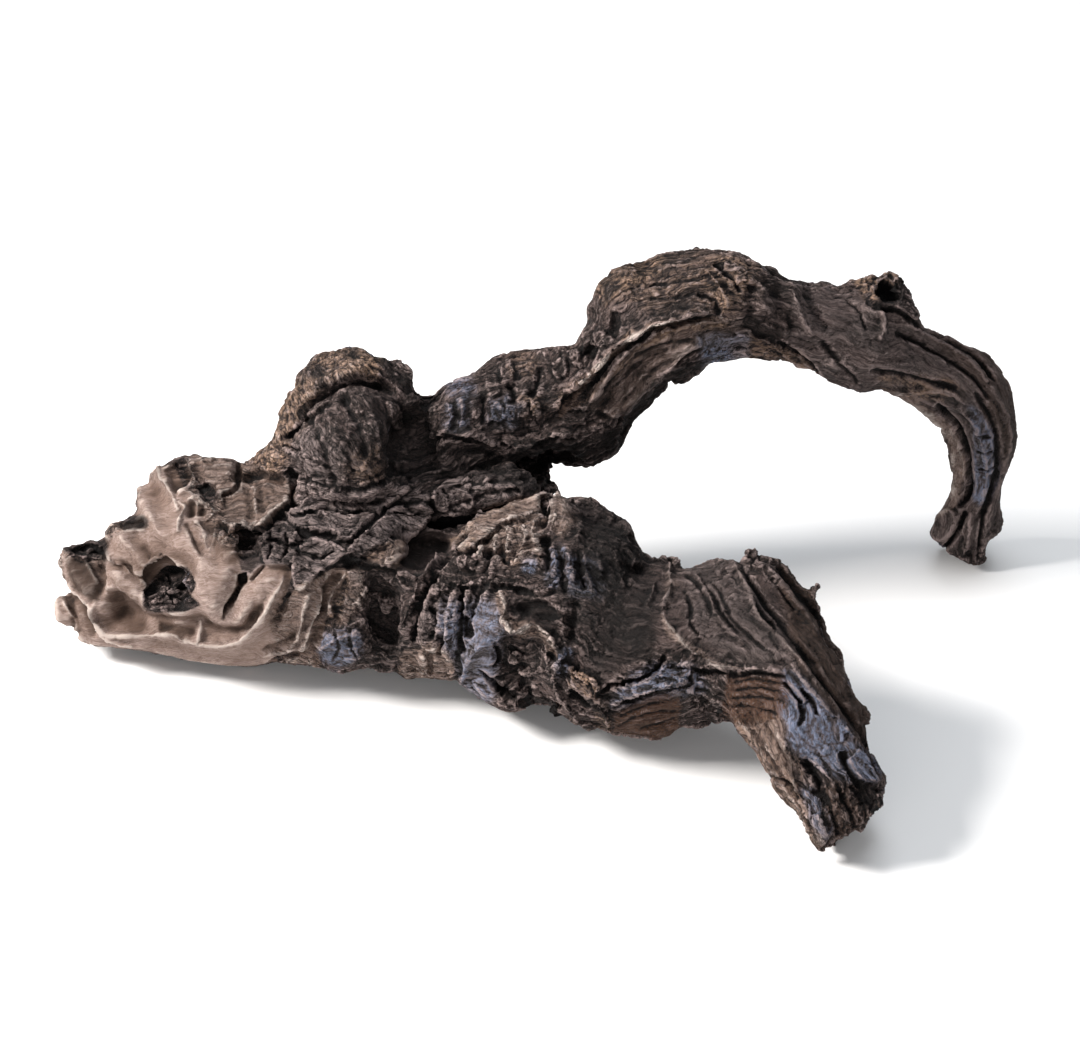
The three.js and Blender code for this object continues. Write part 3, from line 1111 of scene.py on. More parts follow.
    groove(1.2, 4, -68, -52, -66, -63, -68, -74),
    hollow(1.5, 7, -49, -57, -44, -61, -42, -71, -48, -74, -50, -67),
    ridge(3, 5, -32, -73, -42, -84, -48, -97, -44, -106),
    groove(2, 4, -53, -81, -51, -92, -53, -101),
    ridge(2.6, 2.5, -72, -82, -74, -98),
    groove(1.6, 3, -68, -83, -69, -97),
    # The pink rim with the smooth hollow, the pocket and the slot low down.
    hollow(4, 8, -18, -54, -12, -48, 0, -48, 10, -54, 12, -60, 5, -65, -4, -62, -12, -61),
    ridge(2.6, 5, -26, -44, -22, -53, -23, -62, -16, -69, -5, -65, 3, -69, 10, -78, 12, -86),
    ridge(1.2, 3, -26, -44, -22, -53, -23, -62, -16, -69, -5, -65, 3, -69, 10, -78, 12, -86),
    lip(2, 4, -28, -38, -12, -42, 0, -45, 11, -42),
    hollow(2.6, 7, -25, -74, -12, -72, -1, -78, 0, -90, -12, -96, -25, -92, -30, -84),
    swell(2, 5, -20, -79, -12, -81, -12, -88, -20, -89),
    crack(1.2, 4, -29, -76, -25, -84, -29, -92),
    hollow(1.6, 12, -39, -93, -30, -99, -18, -106, 3, -112, 14, -116, 5, -118, -14, -114, -26, -108),
    ridge(2, 4, -41, -99, -31, -110, -20, -115, -8, -115),
    swell(2.4, 6, 10, -84, 14, -79, 18, -84, 14, -94, 9, -99, 6, -92),
    ridge(2, 4, 4, -74, 6, -87, 9, -102, 16, -114, 25, -126),
    plate(1, 4, 19, -92, 26, -94, 37, -101, 35, -108, 30, -110, 20, -102),
    groove(1.6, 6, 18, -106, 25, -112, 31, -117),
    ridge(1.8, 4.5, 32, -106, 38, -115, 42, -123, 44, -132),
    # The shaded flank.
    ridge(3, 4, 20, 11, 25, -2, 21, -17),
    groove(3, 6, 22, -47, 20, -62, 19, -78),
    crack(1.5, 9, 38, -107, 45, -103, 56, -101, 68, -96, 75, -89, 78, -84),
    ridge(1.6, 3, 72, -38, 70, -47, 66, -54),
    groove(3, 4, 38, -24, 51, -28, 65, -32),
    swell(6, 2.5, 38, -41, 56, -37, 69, -43, 62, -57, 45, -59, 36, -52),
    lip(2, 5, 45, -115, 62, -108, 78, -104, 94, -101),
    # The cut twig and the ridges that flow from it to the bend.
    ridge(1.5, 4, 76, -24, 81, -20, 86, -24, 84, -29, 78, -29),
    hollow(1.2, 3, 78, -24, 81, -22, 84, -25, 81, -27),
    ridge(2, 4, 80, -29, 82, -40, 78, -51, 76, -57),
    ridge(2.4, 5, 76, -57, 82, -66, 91, -77, 100, -84, 112, -89, 123, -93),
    groove(1.2, 2.5, 90, -32, 98, -39, 104, -49, 107, -59),
    groove(1.2, 2.5, 90, -43, 94, -53, 94, -63, 99, -72),
    groove(1.2, 2.5, 105, -37, 112, -44, 116, -53, 120, -62, 130, -71, 141, -80),
    groove(1.1, 3, 100, -36, 109, -48, 114, -59, 124, -71),
    ridge(1.2, 3, 96, -32, 105, -44, 110, -57, 119, -68, 130, -78),
    ridge(2, 5, 118, -23, 126, -34, 132, -47, 136, -59, 147, -71, 159, -84, 170, -96),
    groove(1.6, 4, 124, -26, 132, -39, 140, -51, 150, -63, 162, -78, 175, -92),
    groove(1.1, 3, 130, -43, 138, -57, 148, -68),
    ridge(2, 4, 135, -24, 144, -34, 154, -44, 164, -56, 174, -72),
    groove(1.1, 3, 139, -28, 150, -43, 160, -56),
    groove(2.4, 4.5, 148, -25, 154, -37, 162, -47, 172, -56, 179, -72),
    ridge(2, 4, 129, -26, 132, -18, 135, -23),
    ridge(1.6, 3, 156, -89, 170, -106, 184, -122, 201, -141),
    groove(2, 5, 160, -79, 179, -102, 194, -122, 211, -146),
    lip(1.8, 4.5, 78, -89, 94, -91, 110, -92, 122, -95, 138, -93, 154, -96),
    groove(0.9, 1.8, 120, -101, 135, -99, 152, -102),
    groove(0.9, 1.8, 119, -106, 135, -104, 151, -107),
    groove(0.9, 1.8, 118, -111, 135, -110, 152, -113),
    groove(0.9, 1.8, 118, -116, 132, -116, 149, -121),
    groove(0.9, 1.8, 48, -124, 66, -116, 86, -111),
    groove(0.9, 1.8, 48, -129, 66, -121, 86, -119),
    groove(0.9, 1.8, 62, -131, 75, -127, 85, -124),
    # The foot: stepped breaks, split edges and its brown left face.
    plate(1.1, 2, 199, -142, 206, -148, 209, -157, 214, -163, 201, -162, 191, -159, 192, -149),
    crack(1.3, 5, 152, -101, 158, -107, 164, -114),
    crack(1.3, 5, 163, -104, 170, -113, 174, -122),
    crack(1.2, 4, 162, -114, 165, -121, 162, -128),
    groove(2, 7, 189, -144, 192, -154, 199, -163, 201, -174),
    groove(2.2, 7, 165, -149, 172, -159, 174, -171),
    ridge(1.2, 4, 150, -138, 156, -148, 159, -159, 161, -172),
    crack(1.3, 5, 140, -157, 148, -162, 156, -166, 161, -174),
    groove(1.2, 3.5, 175, -168, 184, -186, 186, -203),
    groove(1.2, 3.5, 185, -165, 194, -181, 198, -195),
    groove(1.2, 3.5, 194, -164, 202, -178, 204, -188),
    ridge(1.4, 3, 180, -167, 189, -182, 192, -198),
    ridge(1.4, 3, 166, -168, 175, -182, 182, -198),
    swell(2, 4, 170, -184, 176, -183, 182, -193, 178, -201, 172, -194),
    hollow(2, 6, 201, -162, 215, -166, 216, -177, 209, -182, 202, -174),
    groove(1.2, 2.5, 132, -131, 145, -151, 158, -172, 170, -194),
    groove(1.2, 2.5, 141, -127, 150, -142, 156, -157),
)

PATCHES: tuple[Oval | Area, ...] = (
    # Tones. The dark patches are mostly painted shade with some dark bark, the brown patches are painted
    # brown shade and the blue patches are a painted sheen.
    Oval(Tone.UPRIGHT, (-44, -56), (44, 38), 1),
    Oval(Tone.UPRIGHT, (0, -18), (38, 29), 1),
    Oval(Tone.UPRIGHT, (-25, 79), (44, 25), 0.9),
    Oval(Tone.UPRIGHT, (-138, -56), (25, 31), 0.6),
    Oval(Tone.GRAINY, (-125, 69), (44, 41), 1),
    Oval(Tone.GRAINY, (72, 139), (52, 28), 0.8),
    Oval(Tone.GRAINY, (-172, 38), (16, 9), 0.8),
    Oval(Tone.GRAINY, (-25, 82), (38, 22), 0.5),
    Oval(Tone.GRAINY, (212, 119), (19, 31), 0.5),
    area(
        Tone.PALE, 2.5, 1, -272, -11, -268, -1, -253, 2, -254, 19, -244, 37, -230, 36, -221, 18, -205, 11,
        -199, -6, -190, -24, -184, -34, -172, -29, -156, -29, -160, -49, -168, -74, -174, -94, -281, -94,
        -312, -74, -309, -12, -300, -16, -285, -26, -270, -19,
    ),
    area(
        Tone.PALE, 2.5, 0.6, -222, 43, -188, 38, -156, 26, -155, 12, -170, -3, -197, -6, -212, 13,
        -222, 19,
    ),
    area(Tone.PALE, 2, 0.5, -174, -74, -156, -67, -139, -74, -142, -92, -174, -92),
    area(
        Tone.SMOOTH, 4, 1, -278, -47, -270, -15, -256, 1, -250, 22, -234, 32, -212, 7, -190, -24,
        -156, -31, -168, -62, -174, -92, -300, -92, -306, -37,
    ),
    area(
        Tone.BROWN, 3, 0.7, -252, -32, -246, -24, -238, -21, -225, -20, -216, -26, -214, -34, -219, -32,
        -225, -29, -235, -29, -244, -38, -250, -42,
    ),
    area(
        Tone.BROWN, 6, 0.9, -264, -26, -244, -18, -221, -21, -215, -33, -221, -29, -231, -27, -238, -34,
        -244, -43, -252, -38,
    ),
    area(Tone.BROWN, 4.5, 0.9, -272, -44, -264, -42, -250, -57, -244, -67, -254, -71, -265, -67, -271, -57),
    area(Tone.BROWN, 2.5, 0.8, -238, -62, -215, -66, -216, -74, -231, -70, -239, -69),
    area(Tone.DARK, 2, 0.55, -297, -24, -286, -23, -274, -36, -276, -48, -281, -49, -291, -41),
    area(Tone.BROWN, 2, 1, -297, -24, -286, -23, -274, -36, -276, -48, -281, -49, -291, -41),
    area(Tone.BROWN, 2.5, 0.7, -294, -44, -282, -57, -280, -72, -288, -74, -294, -59),
    area(Tone.BROWN, 2.5, 0.9, -202, -4, -186, -4, -188, -26, -199, -26, -204, -15),
    area(Tone.BROWN, 2, 0.2, -232, 32, -222, 35, -217, 26, -226, 17, -231, 22),
    area(Tone.BROWN, 2, 0.6, -270, -31, -261, -37, -250, -49, -256, -49, -265, -42),
    area(Tone.TAN, 4, 0.5, -174, -32, -159, -31, -162, -49, -171, -49),
    area(Tone.TAN, 4, 0.8, -174, -57, -156, -44, -144, -47, -150, -74, -169, -81),
    area(Tone.TAN, 2.5, 0.6, -162, -84, -142, -82, -140, -92, -160, -92),
    area(Tone.TAN, 2, 0.3, -225, 17, -214, 16, -204, 7, -209, -1, -225, -3),
    area(Tone.BLUE, 2.5, 1, -215, -6, -204, 1, -199, -12, -208, -23, -212, -18),
    area(Tone.DARK, 2, 0.85, -300, -16, -285, -8, -269, -17, -271, -26, -280, -23, -288, -19, -296, -19),
    area(Tone.DARK, 1, 1, -268, 1, -248, 4, -246, -4, -262, -4),
    area(
        Tone.CRAGGY, 1, 1, -248, -44, -244, -38, -234, -29, -221, -29, -216, -39, -219, -46, -214, -52,
        -222, -57, -246, -56,
    ),
    area(Tone.DARK, 2.5, 0.6, -188, -4, -173, -4, -176, -17, -179, -26, -187, -26, -189, -15),
    area(Tone.DARK, 3, 0.5, -176, -6, -159, 1, -142, -15, -156, -26, -175, -26),
    area(Tone.DARK, 2, 0.4, -215, 22, -202, 23, -206, 12, -214, 13),
    area(
        Tone.GREY, 5, 0.9, -156, 26, -80, 23, -68, 11, -68, -1, -85, -15, -122, -22, -150, -47, -174, -28,
        -174, -7, -160, 3,
    ),
    area(Tone.TAN, 3, 0.7, -122, -29, -100, -16, -85, -13, -88, -25, -109, -29),
    area(Tone.PALE, 3, 0.5, -122, -29, -100, -16, -85, -13, -88, -25, -109, -29),
    area(Tone.BROWN, 4, 0.12, -150, -49, -136, -33, -119, -29, -122, -51, -134, -72, -151, -82),
    area(Tone.PALE, 2.5, 0.5, -121, -29, -112, -25, -109, -49, -119, -63, -129, -64, -121, -43),
    area(Tone.BLUE, 3, 0.75, -140, -69, -116, -67, -110, -82, -124, -92, -138, -86),
    area(Tone.DARK, 3, 0.35, -109, -32, -89, -29, -84, -49, -88, -82, -106, -84),
    area(Tone.DARK, 4, 0.3, -89, -9, -55, -6, -54, -17, -69, -32, -88, -31),
    area(Tone.SMOOTH, 3, 0.9, -88, -8, -55, -6, -54, -17, -69, -31, -86, -31),
    area(
        Tone.TAN, 5, 1, -182, 33, -176, 46, -164, 69, -151, 93, -134, 107, -111, 110, -98, 104, -105, 92,
        -125, 92, -139, 81, -149, 68, -155, 52, -160, 34,
    ),
    area(
        Tone.PALE, 5, 0.4, -180, 37, -162, 68, -150, 92, -131, 107, -111, 108, -102, 102, -119, 89,
        -136, 81, -148, 68, -155, 49, -160, 37,
    ),
    area(Tone.GREY, 4, 0.8, -160, 49, -147, 60, -131, 56, -121, 32, -119, 18, -138, 18, -155, 26),
    area(Tone.TAN, 5, 0.5, -125, 41, -104, 44, -99, 28, -108, 21, -119, 20),
    area(Tone.DARK, 7.5, 0.25, -144, 68, -119, 79, -97, 76, -100, 32, -125, 24, -142, 39),
    area(Tone.DARK, 5.5, 0.7, -86, 85, -70, 72, -61, 51, -61, 31, -97, 24, -100, 51, -96, 66, -85, 63),
    area(
        Tone.DARK, 2.5, 0.9, -22, 37, -12, 46, -2, 49, 25, 51, 28, 39, 14, 34, 5, 32, 3, 19, -11, 19,
        -25, 27, -44, 29,
    ),
    area(Tone.DARK, 5, 0.6, -68, 51, -25, 43, -25, 29, -68, 28),
    area(Tone.DARK, 2, 0.95, -69, 3, -45, 3, -38, 8, -50, -3, -69, -3),
    area(Tone.GREY, 3, 1, -68, 19, -44, 28, -6, 31, 4, 27, -16, 12, -45, 2, -62, 4),
    area(Tone.BLUE, 4.5, 0.6, -31, 74, -15, 74, -16, 62, -31, 62),
    area(Tone.BLUE, 4, 0.5, -59, 86, -41, 89, -41, 78, -56, 78),
    area(Tone.BLUE, 3, 0.5, -59, 74, -45, 76, -46, 59, -59, 59),
    area(Tone.TAN, 3, 0.35, -21, 104, -2, 103, -5, 89, -18, 91),
    area(Tone.TAN, 3, 0.6, -18, 76, 1, 76, 1, 66, -14, 66),
    area(Tone.TAN, 4, 0.9, 35, 144, 41, 157, 62, 167, 78, 168, 74, 156, 45, 137),
    area(
        Tone.TAN, 3, 1, 11, 66, 12, 78, 35, 93, 45, 107, 70, 124, 112, 127, 112, 119, 80, 116, 54, 97,
        32, 76, 12, 78, 35, 93, 45, 107, 70, 124, 75, 119, 50, 97, 31, 77,
    ),
    area(Tone.TAN, 3, 0.7, 100, 158, 115, 166, 132, 157, 125, 138, 110, 132),
    area(
        Tone.BROWN, 4, 0.25, 28, 74, 44, 93, 69, 116, 100, 126, 128, 122, 101, 107, 78, 92, 58, 71, 40, 63,
    ),
    area(
        Tone.SMOOTH, 3, 0.6, 28, 72, 41, 91, 69, 116, 100, 124, 128, 121, 102, 106, 78, 91, 58, 68, 38, 62,
    ),
    area(Tone.GREY, 3, 0.8, 99, 114, 128, 116, 126, 99, 101, 98),
    area(Tone.BLUE, 3, 1, 99, 114, 128, 116, 126, 99, 101, 98),
    area(Tone.DARK, 2.5, 0.8, 42, 39, 38, 51, 54, 68, 76, 89, 101, 102, 104, 96, 74, 74, 55, 51),
    area(Tone.DARK, 5, 0.15, 128, 148, 151, 144, 156, 113, 131, 108),
    area(Tone.SMOOTH, 5, 0.4, 128, 148, 151, 144, 156, 109, 131, 107),
    area(Tone.TAN, 2.5, 0.6, 118, 117, 138, 115, 164, 104, 171, 88, 144, 97, 121, 101),
    area(Tone.TAN, 2, 0.9, 195, 151, 212, 151, 212, 137, 204, 138),
    area(Tone.TAN, 1, 1, 215, 156, 224, 154, 224, 148, 216, 148),
    area(Tone.DARK, 2, 1, 211, 147, 229, 147, 226, 137, 212, 136),
    area(
        Tone.SMOOTH, 6, 0.6, 162, 151, 212, 138, 244, 122, 288, 101, 300, 57, 291, -6, 244, -15, 256, 32,
        244, 60, 212, 78, 162, 93,
    ),
    area(
        Tone.PALE, 2.5, 0.9, 215, 82, 234, 76, 253, 61, 262, 44, 264, 26, 260, 10, 249, 4, 255, 26,
        256, 44, 247, 60, 228, 74,
    ),
    area(Tone.TAN, 3, 0.7, 212, 89, 244, 91, 266, 81, 262, 74, 231, 77),
    area(Tone.BLUE, 2.5, 0.9, 269, 71, 279, 64, 286, 41, 282, 13, 272, 12, 271, 44),
    area(Tone.BROWN, 5, 0.5, 238, 122, 281, 106, 298, 76, 298, 44, 288, 19, 285, 57, 269, 88),
    area(Tone.DARK, 4, 0.45, 285, 88, 299, 76, 299, 44, 290, 19, 290, -9, 280, -12, 286, 32),
    area(Tone.TAN, 2.5, 0.9, -58, -12, -44, 0, -28, 9, 0, 19, 1, 9, -25, 0, -44, -16, -53, -18),
    area(Tone.SMOOTH, 2, 0.4, -58, -12, -44, 0, -28, 9, 0, 19, 1, 10, -25, 1, -44, -14, -53, -16),
    area(Tone.PALE, 5, 0.6, 4, 22, 13, 24, 19, 13, 22, 1, 14, -12, 6, -6, 4, 10),
    area(Tone.SMOOTH, 2.5, 0.35, 4, 22, 13, 24, 19, 13, 22, 1, 14, -12, 6, -6, 4, 10),
    area(Tone.PALE, 4.5, 0.6, -44, 1, -25, 9, 4, 13, 5, -6, -2, -22, -22, -24, -41, -19),
    area(Tone.TAN, 4.5, 0.6, -26, -2, -2, 1, -4, -24, -22, -24),
    area(Tone.BLUE, 2, 1, -13, -20, -5, -20, -4, -33, -11, -32),
    area(Tone.BLUE, 3, 0.8, 5, -18, 14, -17, 14, -38, 5, -37),
    area(Tone.BLUE, 4, 0.6, 16, -22, 40, -24, 38, -47, 20, -43),
    area(
        Tone.GREY, 4.5, 0.8, -75, -49, -44, -43, -25, -49, -25, -74, -28, -112, -44, -106, -56, -87,
        -75, -81,
    ),
    area(Tone.SMOOTH, 3, 0.45, -41, -53, -25, -53, -26, -74, -30, -112, -45, -106, -50, -87),
    area(Tone.BLUE, 4.5, 0.85, -62, -49, -25, -53, -26, -87, -31, -112, -46, -106, -60, -81),
    area(
        Tone.PALE, 2, 0.7, -28, -43, -20, -47, -19, -61, -6, -62, 5, -68, 12, -84, 8, -84, 0, -73,
        -16, -72, -24, -63,
    ),
    area(
        Tone.TAN, 2.5, 0.5, -28, -43, -20, -47, -19, -61, -6, -62, 5, -68, 12, -84, 8, -84, 0, -73,
        -16, -72, -24, -63,
    ),
    area(Tone.DARK, 3, 0.85, -19, -54, -12, -48, 1, -48, 11, -54, 12, -61, 5, -65, -5, -62, -14, -61),
    area(Tone.SMOOTH, 3, 0.3, -20, -48, 3, -49, 13, -57, 6, -65, -16, -60),
    area(Tone.TAN, 3, 0.9, -85, -78, -58, -79, -56, -101, -85, -99),
    area(Tone.DARK, 2, 1, -38, -94, -18, -105, 14, -116, 0, -118, -25, -109),
    area(Tone.BLUE, 2, 1, 9, -81, 18, -81, 18, -92, 11, -99),
    area(
        Tone.DARK, 7.5, 0.75, 25, 9, 58, -1, 69, -24, 78, -49, 62, -87, 38, -97, 20, -81, 16, -49, 26, -24,
    ),
    area(Tone.BLUE, 4.5, 0.8, 69, -89, 94, -92, 101, -106, 62, -112, 45, -116, 56, -102),
    area(Tone.RINGS, 2, 1, 45, -123, 62, -113, 85, -108, 88, -119, 82, -135, 47, -134),
    area(Tone.RINGS, 2, 1, 118, -96, 154, -98, 156, -113, 144, -126, 114, -124),
    area(Tone.TAN, 2, 1, 18, -91, 37, -99, 35, -110, 20, -107),
    area(Tone.TAN, 2.5, 0.5, 31, -106, 40, -112, 45, -133, 35, -132),
    area(Tone.PALE, 2.5, 0.6, 75, -53, 82, -62, 100, -81, 123, -91, 119, -94, 98, -87, 80, -69),
    area(Tone.PALE, 3, 0.4, 78, -24, 85, -22, 88, -40, 80, -52, 75, -47),
    area(Tone.GREY, 5, 0.5, 90, -28, 125, -24, 142, -62, 162, -87, 138, -89, 100, -74),
    area(Tone.PALE, 3, 0.35, 115, -22, 126, -28, 139, -59, 135, -62, 124, -39),
    area(
        Tone.BROWN, 5, 0.8, 148, -23, 164, -36, 176, -43, 182, -74, 209, -119, 221, -165, 201, -141,
        175, -107, 156, -74,
    ),
    area(
        Tone.DARK, 6, 0.5, 152, -34, 166, -43, 181, -81, 206, -131, 215, -156, 198, -138, 175, -106,
        159, -68,
    ),
    area(
        Tone.TAN, 4, 0.7, 122, -123, 150, -123, 155, -140, 164, -156, 162, -171, 182, -209, 160, -191,
        142, -162, 128, -140,
    ),
    area(Tone.RINGS, 5, 0.25, 122, -123, 150, -123, 154, -140, 160, -156, 160, -174, 148, -172, 128, -140),
    area(Tone.BLUE, 3, 0.85, 153, -94, 162, -98, 180, -119, 194, -134, 172, -149, 153, -140, 151, -118),
    area(Tone.BLUE, 3, 0.8, 166, -139, 191, -137, 211, -151, 212, -162, 191, -162, 166, -151),
    area(Tone.BLUE, 2.5, 0.8, 162, -168, 170, -166, 182, -192, 178, -202, 170, -191),
    area(Tone.DARK, 2.5, 0.6, 199, -161, 216, -166, 216, -183, 202, -182),
    area(Tone.BROWN, 4, 0.7, 170, -168, 194, -163, 205, -184, 188, -201, 180, -206),
    area(
        Tone.DARK, 2, 0.3, -248, -44, -244, -38, -234, -29, -221, -29, -216, -39, -219, -46, -214, -52,
        -222, -57, -246, -56,
    ),
    area(Tone.CRAGGY, 2, 1, -214, 21, -209, 24, -202, 22, -204, 13, -210, 12),
    area(Tone.SMOOTH, 2, 1, -299, -22, -289, -24, -275, -34, -276, -49, -288, -44, -298, -34),
    area(Tone.SMOOTH, 2.5, 0.6, -215, 37, -192, 38, -189, 27, -201, 24, -211, 26),
    area(Tone.SMOOTH, 3, 0.45, -196, 21, -156, 24, -156, 12, -169, -1, -181, -4, -195, -2),
    area(Tone.PALE, 3, 0.65, -196, 21, -156, 24, -156, 12, -169, -1, -181, -4, -195, -2),
    area(Tone.PALE, 2.5, 0.9, -281, -78, -181, -79, -174, -74, -174, -92, -275, -89),
    area(
        Tone.SMOOTH, 6, 0.6, 62, -31, 138, -26, 162, -49, 200, -112, 206, -149, 162, -106, 112, -89,
        75, -81, 44, -99, 38, -62,
    ),
    area(
        Tone.SMOOTH, 2.5, 0.6, 153, -94, 162, -98, 180, -119, 194, -134, 206, -151, 191, -156, 166, -149,
        153, -140, 151, -118,
    ),
    area(Tone.GREY, 4, 0.8, -55, -7, -25, 1, -25, 9, 0, 18, 4, 13, -25, -1),
    area(Tone.PALE, 4, 0.55, -58, -12, -44, 0, -28, 9, 4, 19, 5, 10, -25, 0, -44, -16, -53, -18),
    area(Tone.PALE, 5, 0.4, 28, 72, 41, 91, 69, 116, 100, 124, 128, 121, 102, 106, 78, 91, 58, 68, 38, 62),
    area(Tone.TAN, 6, 0.3, 44, 132, 40, 157, 75, 171, 112, 169, 138, 157, 125, 132, 88, 131),
    area(
        Tone.TAN, 3, 0.6, -150, -49, -136, -33, -119, -29, -122, -51, -134, -72, -156, -84, -174, -88,
        -162, -74,
    ),
    area(
        Tone.PALE, 4, 0.55, 122, -123, 150, -123, 155, -140, 164, -156, 162, -171, 182, -207, 162, -191,
        144, -162, 130, -140,
    ),
    area(
        Tone.PALE, 2, 0.35, 118, -22, 126, -28, 135, -47, 142, -62, 170, -92, 162, -89, 140, -69, 128, -47,
    ),
    area(Tone.DARK, 9, 0.85, 31, 13, 58, 3, 69, -18, 62, -49, 38, -62, 25, -24),
    area(
        Tone.BROWN, 3, 0.4, -215, 41, -188, 38, -155, 24, -156, 11, -170, -3, -196, -3, -206, 13, -218, 22,
    ),
    area(Tone.PALE, 2, 0.35, -218, -1, -202, 1, -201, -15, -208, -22, -212, -17),
    area(Tone.CRAGGY, 2, 0.2, -219, 1, -202, 2, -201, -15, -208, -23, -212, -18),
    area(Tone.SMOOTH, 3, 0.5, -174, -81, -156, -46, -136, -34, -121, -31, -131, -56, -142, -81),
    area(Tone.PALE, 3, 0.95, -174, -81, -156, -46, -136, -34, -121, -31, -131, -56, -142, -81),
    area(Tone.PALE, 2.5, 0.9, -85, -79, -58, -81, -59, -99, -85, -98),
    area(Tone.DARK, 9, 0.45, 75, -34, 125, -26, 144, -49, 162, -81, 138, -84, 100, -74, 75, -49),
    area(Tone.SMOOTH, 2.5, 0.6, 118, -97, 154, -97, 154, -122, 118, -123),
    area(Tone.SMOOTH, 2.5, 0.6, 45, -123, 62, -113, 86, -108, 88, -119, 82, -135, 47, -134),
    area(Tone.SMOOTH, 3, 0.4, 125, -126, 149, -126, 160, -156, 164, -181, 144, -162),
    area(Tone.SMOOTH, 3, 0.5, -140, -69, -116, -67, -110, -82, -124, -92, -138, -86),
    # Painted highlight: a thin pale line along the lit upper edge of the hump's lip.
    area(
        Tone.PALE, 1, 0.8, 10, 68, 25, 86, 45, 106, 70, 123, 114, 128, 114, 124, 70, 119, 46, 102, 28, 82,
        12, 64,
    ),
    area(
        Tone.GREY, 6, 0.35, 162, 151, 212, 138, 244, 122, 288, 101, 300, 57, 291, -6, 244, -15, 256, 32,
        244, 60, 212, 78, 162, 93,
    ),
    area(
        Tone.TAN, 2.5, 0.6, 215, 82, 234, 76, 253, 61, 262, 44, 264, 26, 260, 10, 249, 4, 255, 26, 256, 44,
        247, 60, 228, 74,
    ),
)


@dataclass(frozen=True)
class Knobs:
    """One layer of rounded knobs: their size all round, octaves and height."""

    size: float
    octaves: int
    height: float

    def lift(self, noise: Noise, places: np.ndarray) -> np.ndarray:
        """Lifts places by the layer.

        Args:
            noise: Where the knobs come from.
            places: Rows of x, y, z.

        Returns:
            Lift per place.
        """
        return self.height * noise.fractal(places / self.size, self.octaves)


@dataclass(frozen=True)
class Ridges:
    """One layer of sharp ridges: size in three directions, octaves, the level that lies flat, and height."""

    size: tuple[float, float, float]
    octaves: int
    flat: float
    height: float

    def lift(self, noise: Noise, places: np.ndarray) -> np.ndarray:
        """Lifts places by the layer.

        Args:
            noise: Where the ridges come from.
            places: Rows of three numbers in the directions of the size.

        Returns:
            Lift per place.
        """
        return self.height * (noise.ridged(places / self.size, self.octaves) - self.flat)


@dataclass(frozen=True)
class Plates:
    """One layer of tilted plates: their size in three directions, how far they lean, and height."""

    size: tuple[float, float, float]
    lean: float
    height: float

    def lift(self, noise: Noise, places: np.ndarray) -> tuple[np.ndarray, np.ndarray]:
        """Lifts places by the layer.

        Args:
            noise: Where the plates come from.
            places: Rows of three numbers in the directions of the size.

        Returns:
            Lift per place, and the distance to the plate's edge, 0 at the edge.
        """
        height, seam = noise.plates(places / self.size, self.lean)
        return self.height * height, seam


@dataclass(frozen=True)
class Crags:
    """Coarse planes and ridges that break a limb's roundness; sizes run along, across and deep."""

    planes: Plates = Plates((44, 24, 24), 1.2, 4.6)
    ridges: Ridges = Ridges((75, 22, 22), 2, 0.62, 8.0)
    swells: Knobs = Knobs(38, 2, 2.4)
    sunk: float = 1.0

    def lift(self, noise: Noise, places: np.ndarray, grain: np.ndarray, share: np.ndarray) -> np.ndarray:
        """Lifts places by the crags.

        Args:
            noise: Where the forms come from.
            places: Rows of x, y, z.
            grain: The same places in the limb's straightened frame.
            share: How strongly the planes and ridges show at each place.

        Returns:
            Lift per place.
        """
        planes, _ = self.planes.lift(noise, grain)
        return share * (planes + self.ridges.lift(noise, grain)) + self.swells.lift(noise, places) - self.sunk


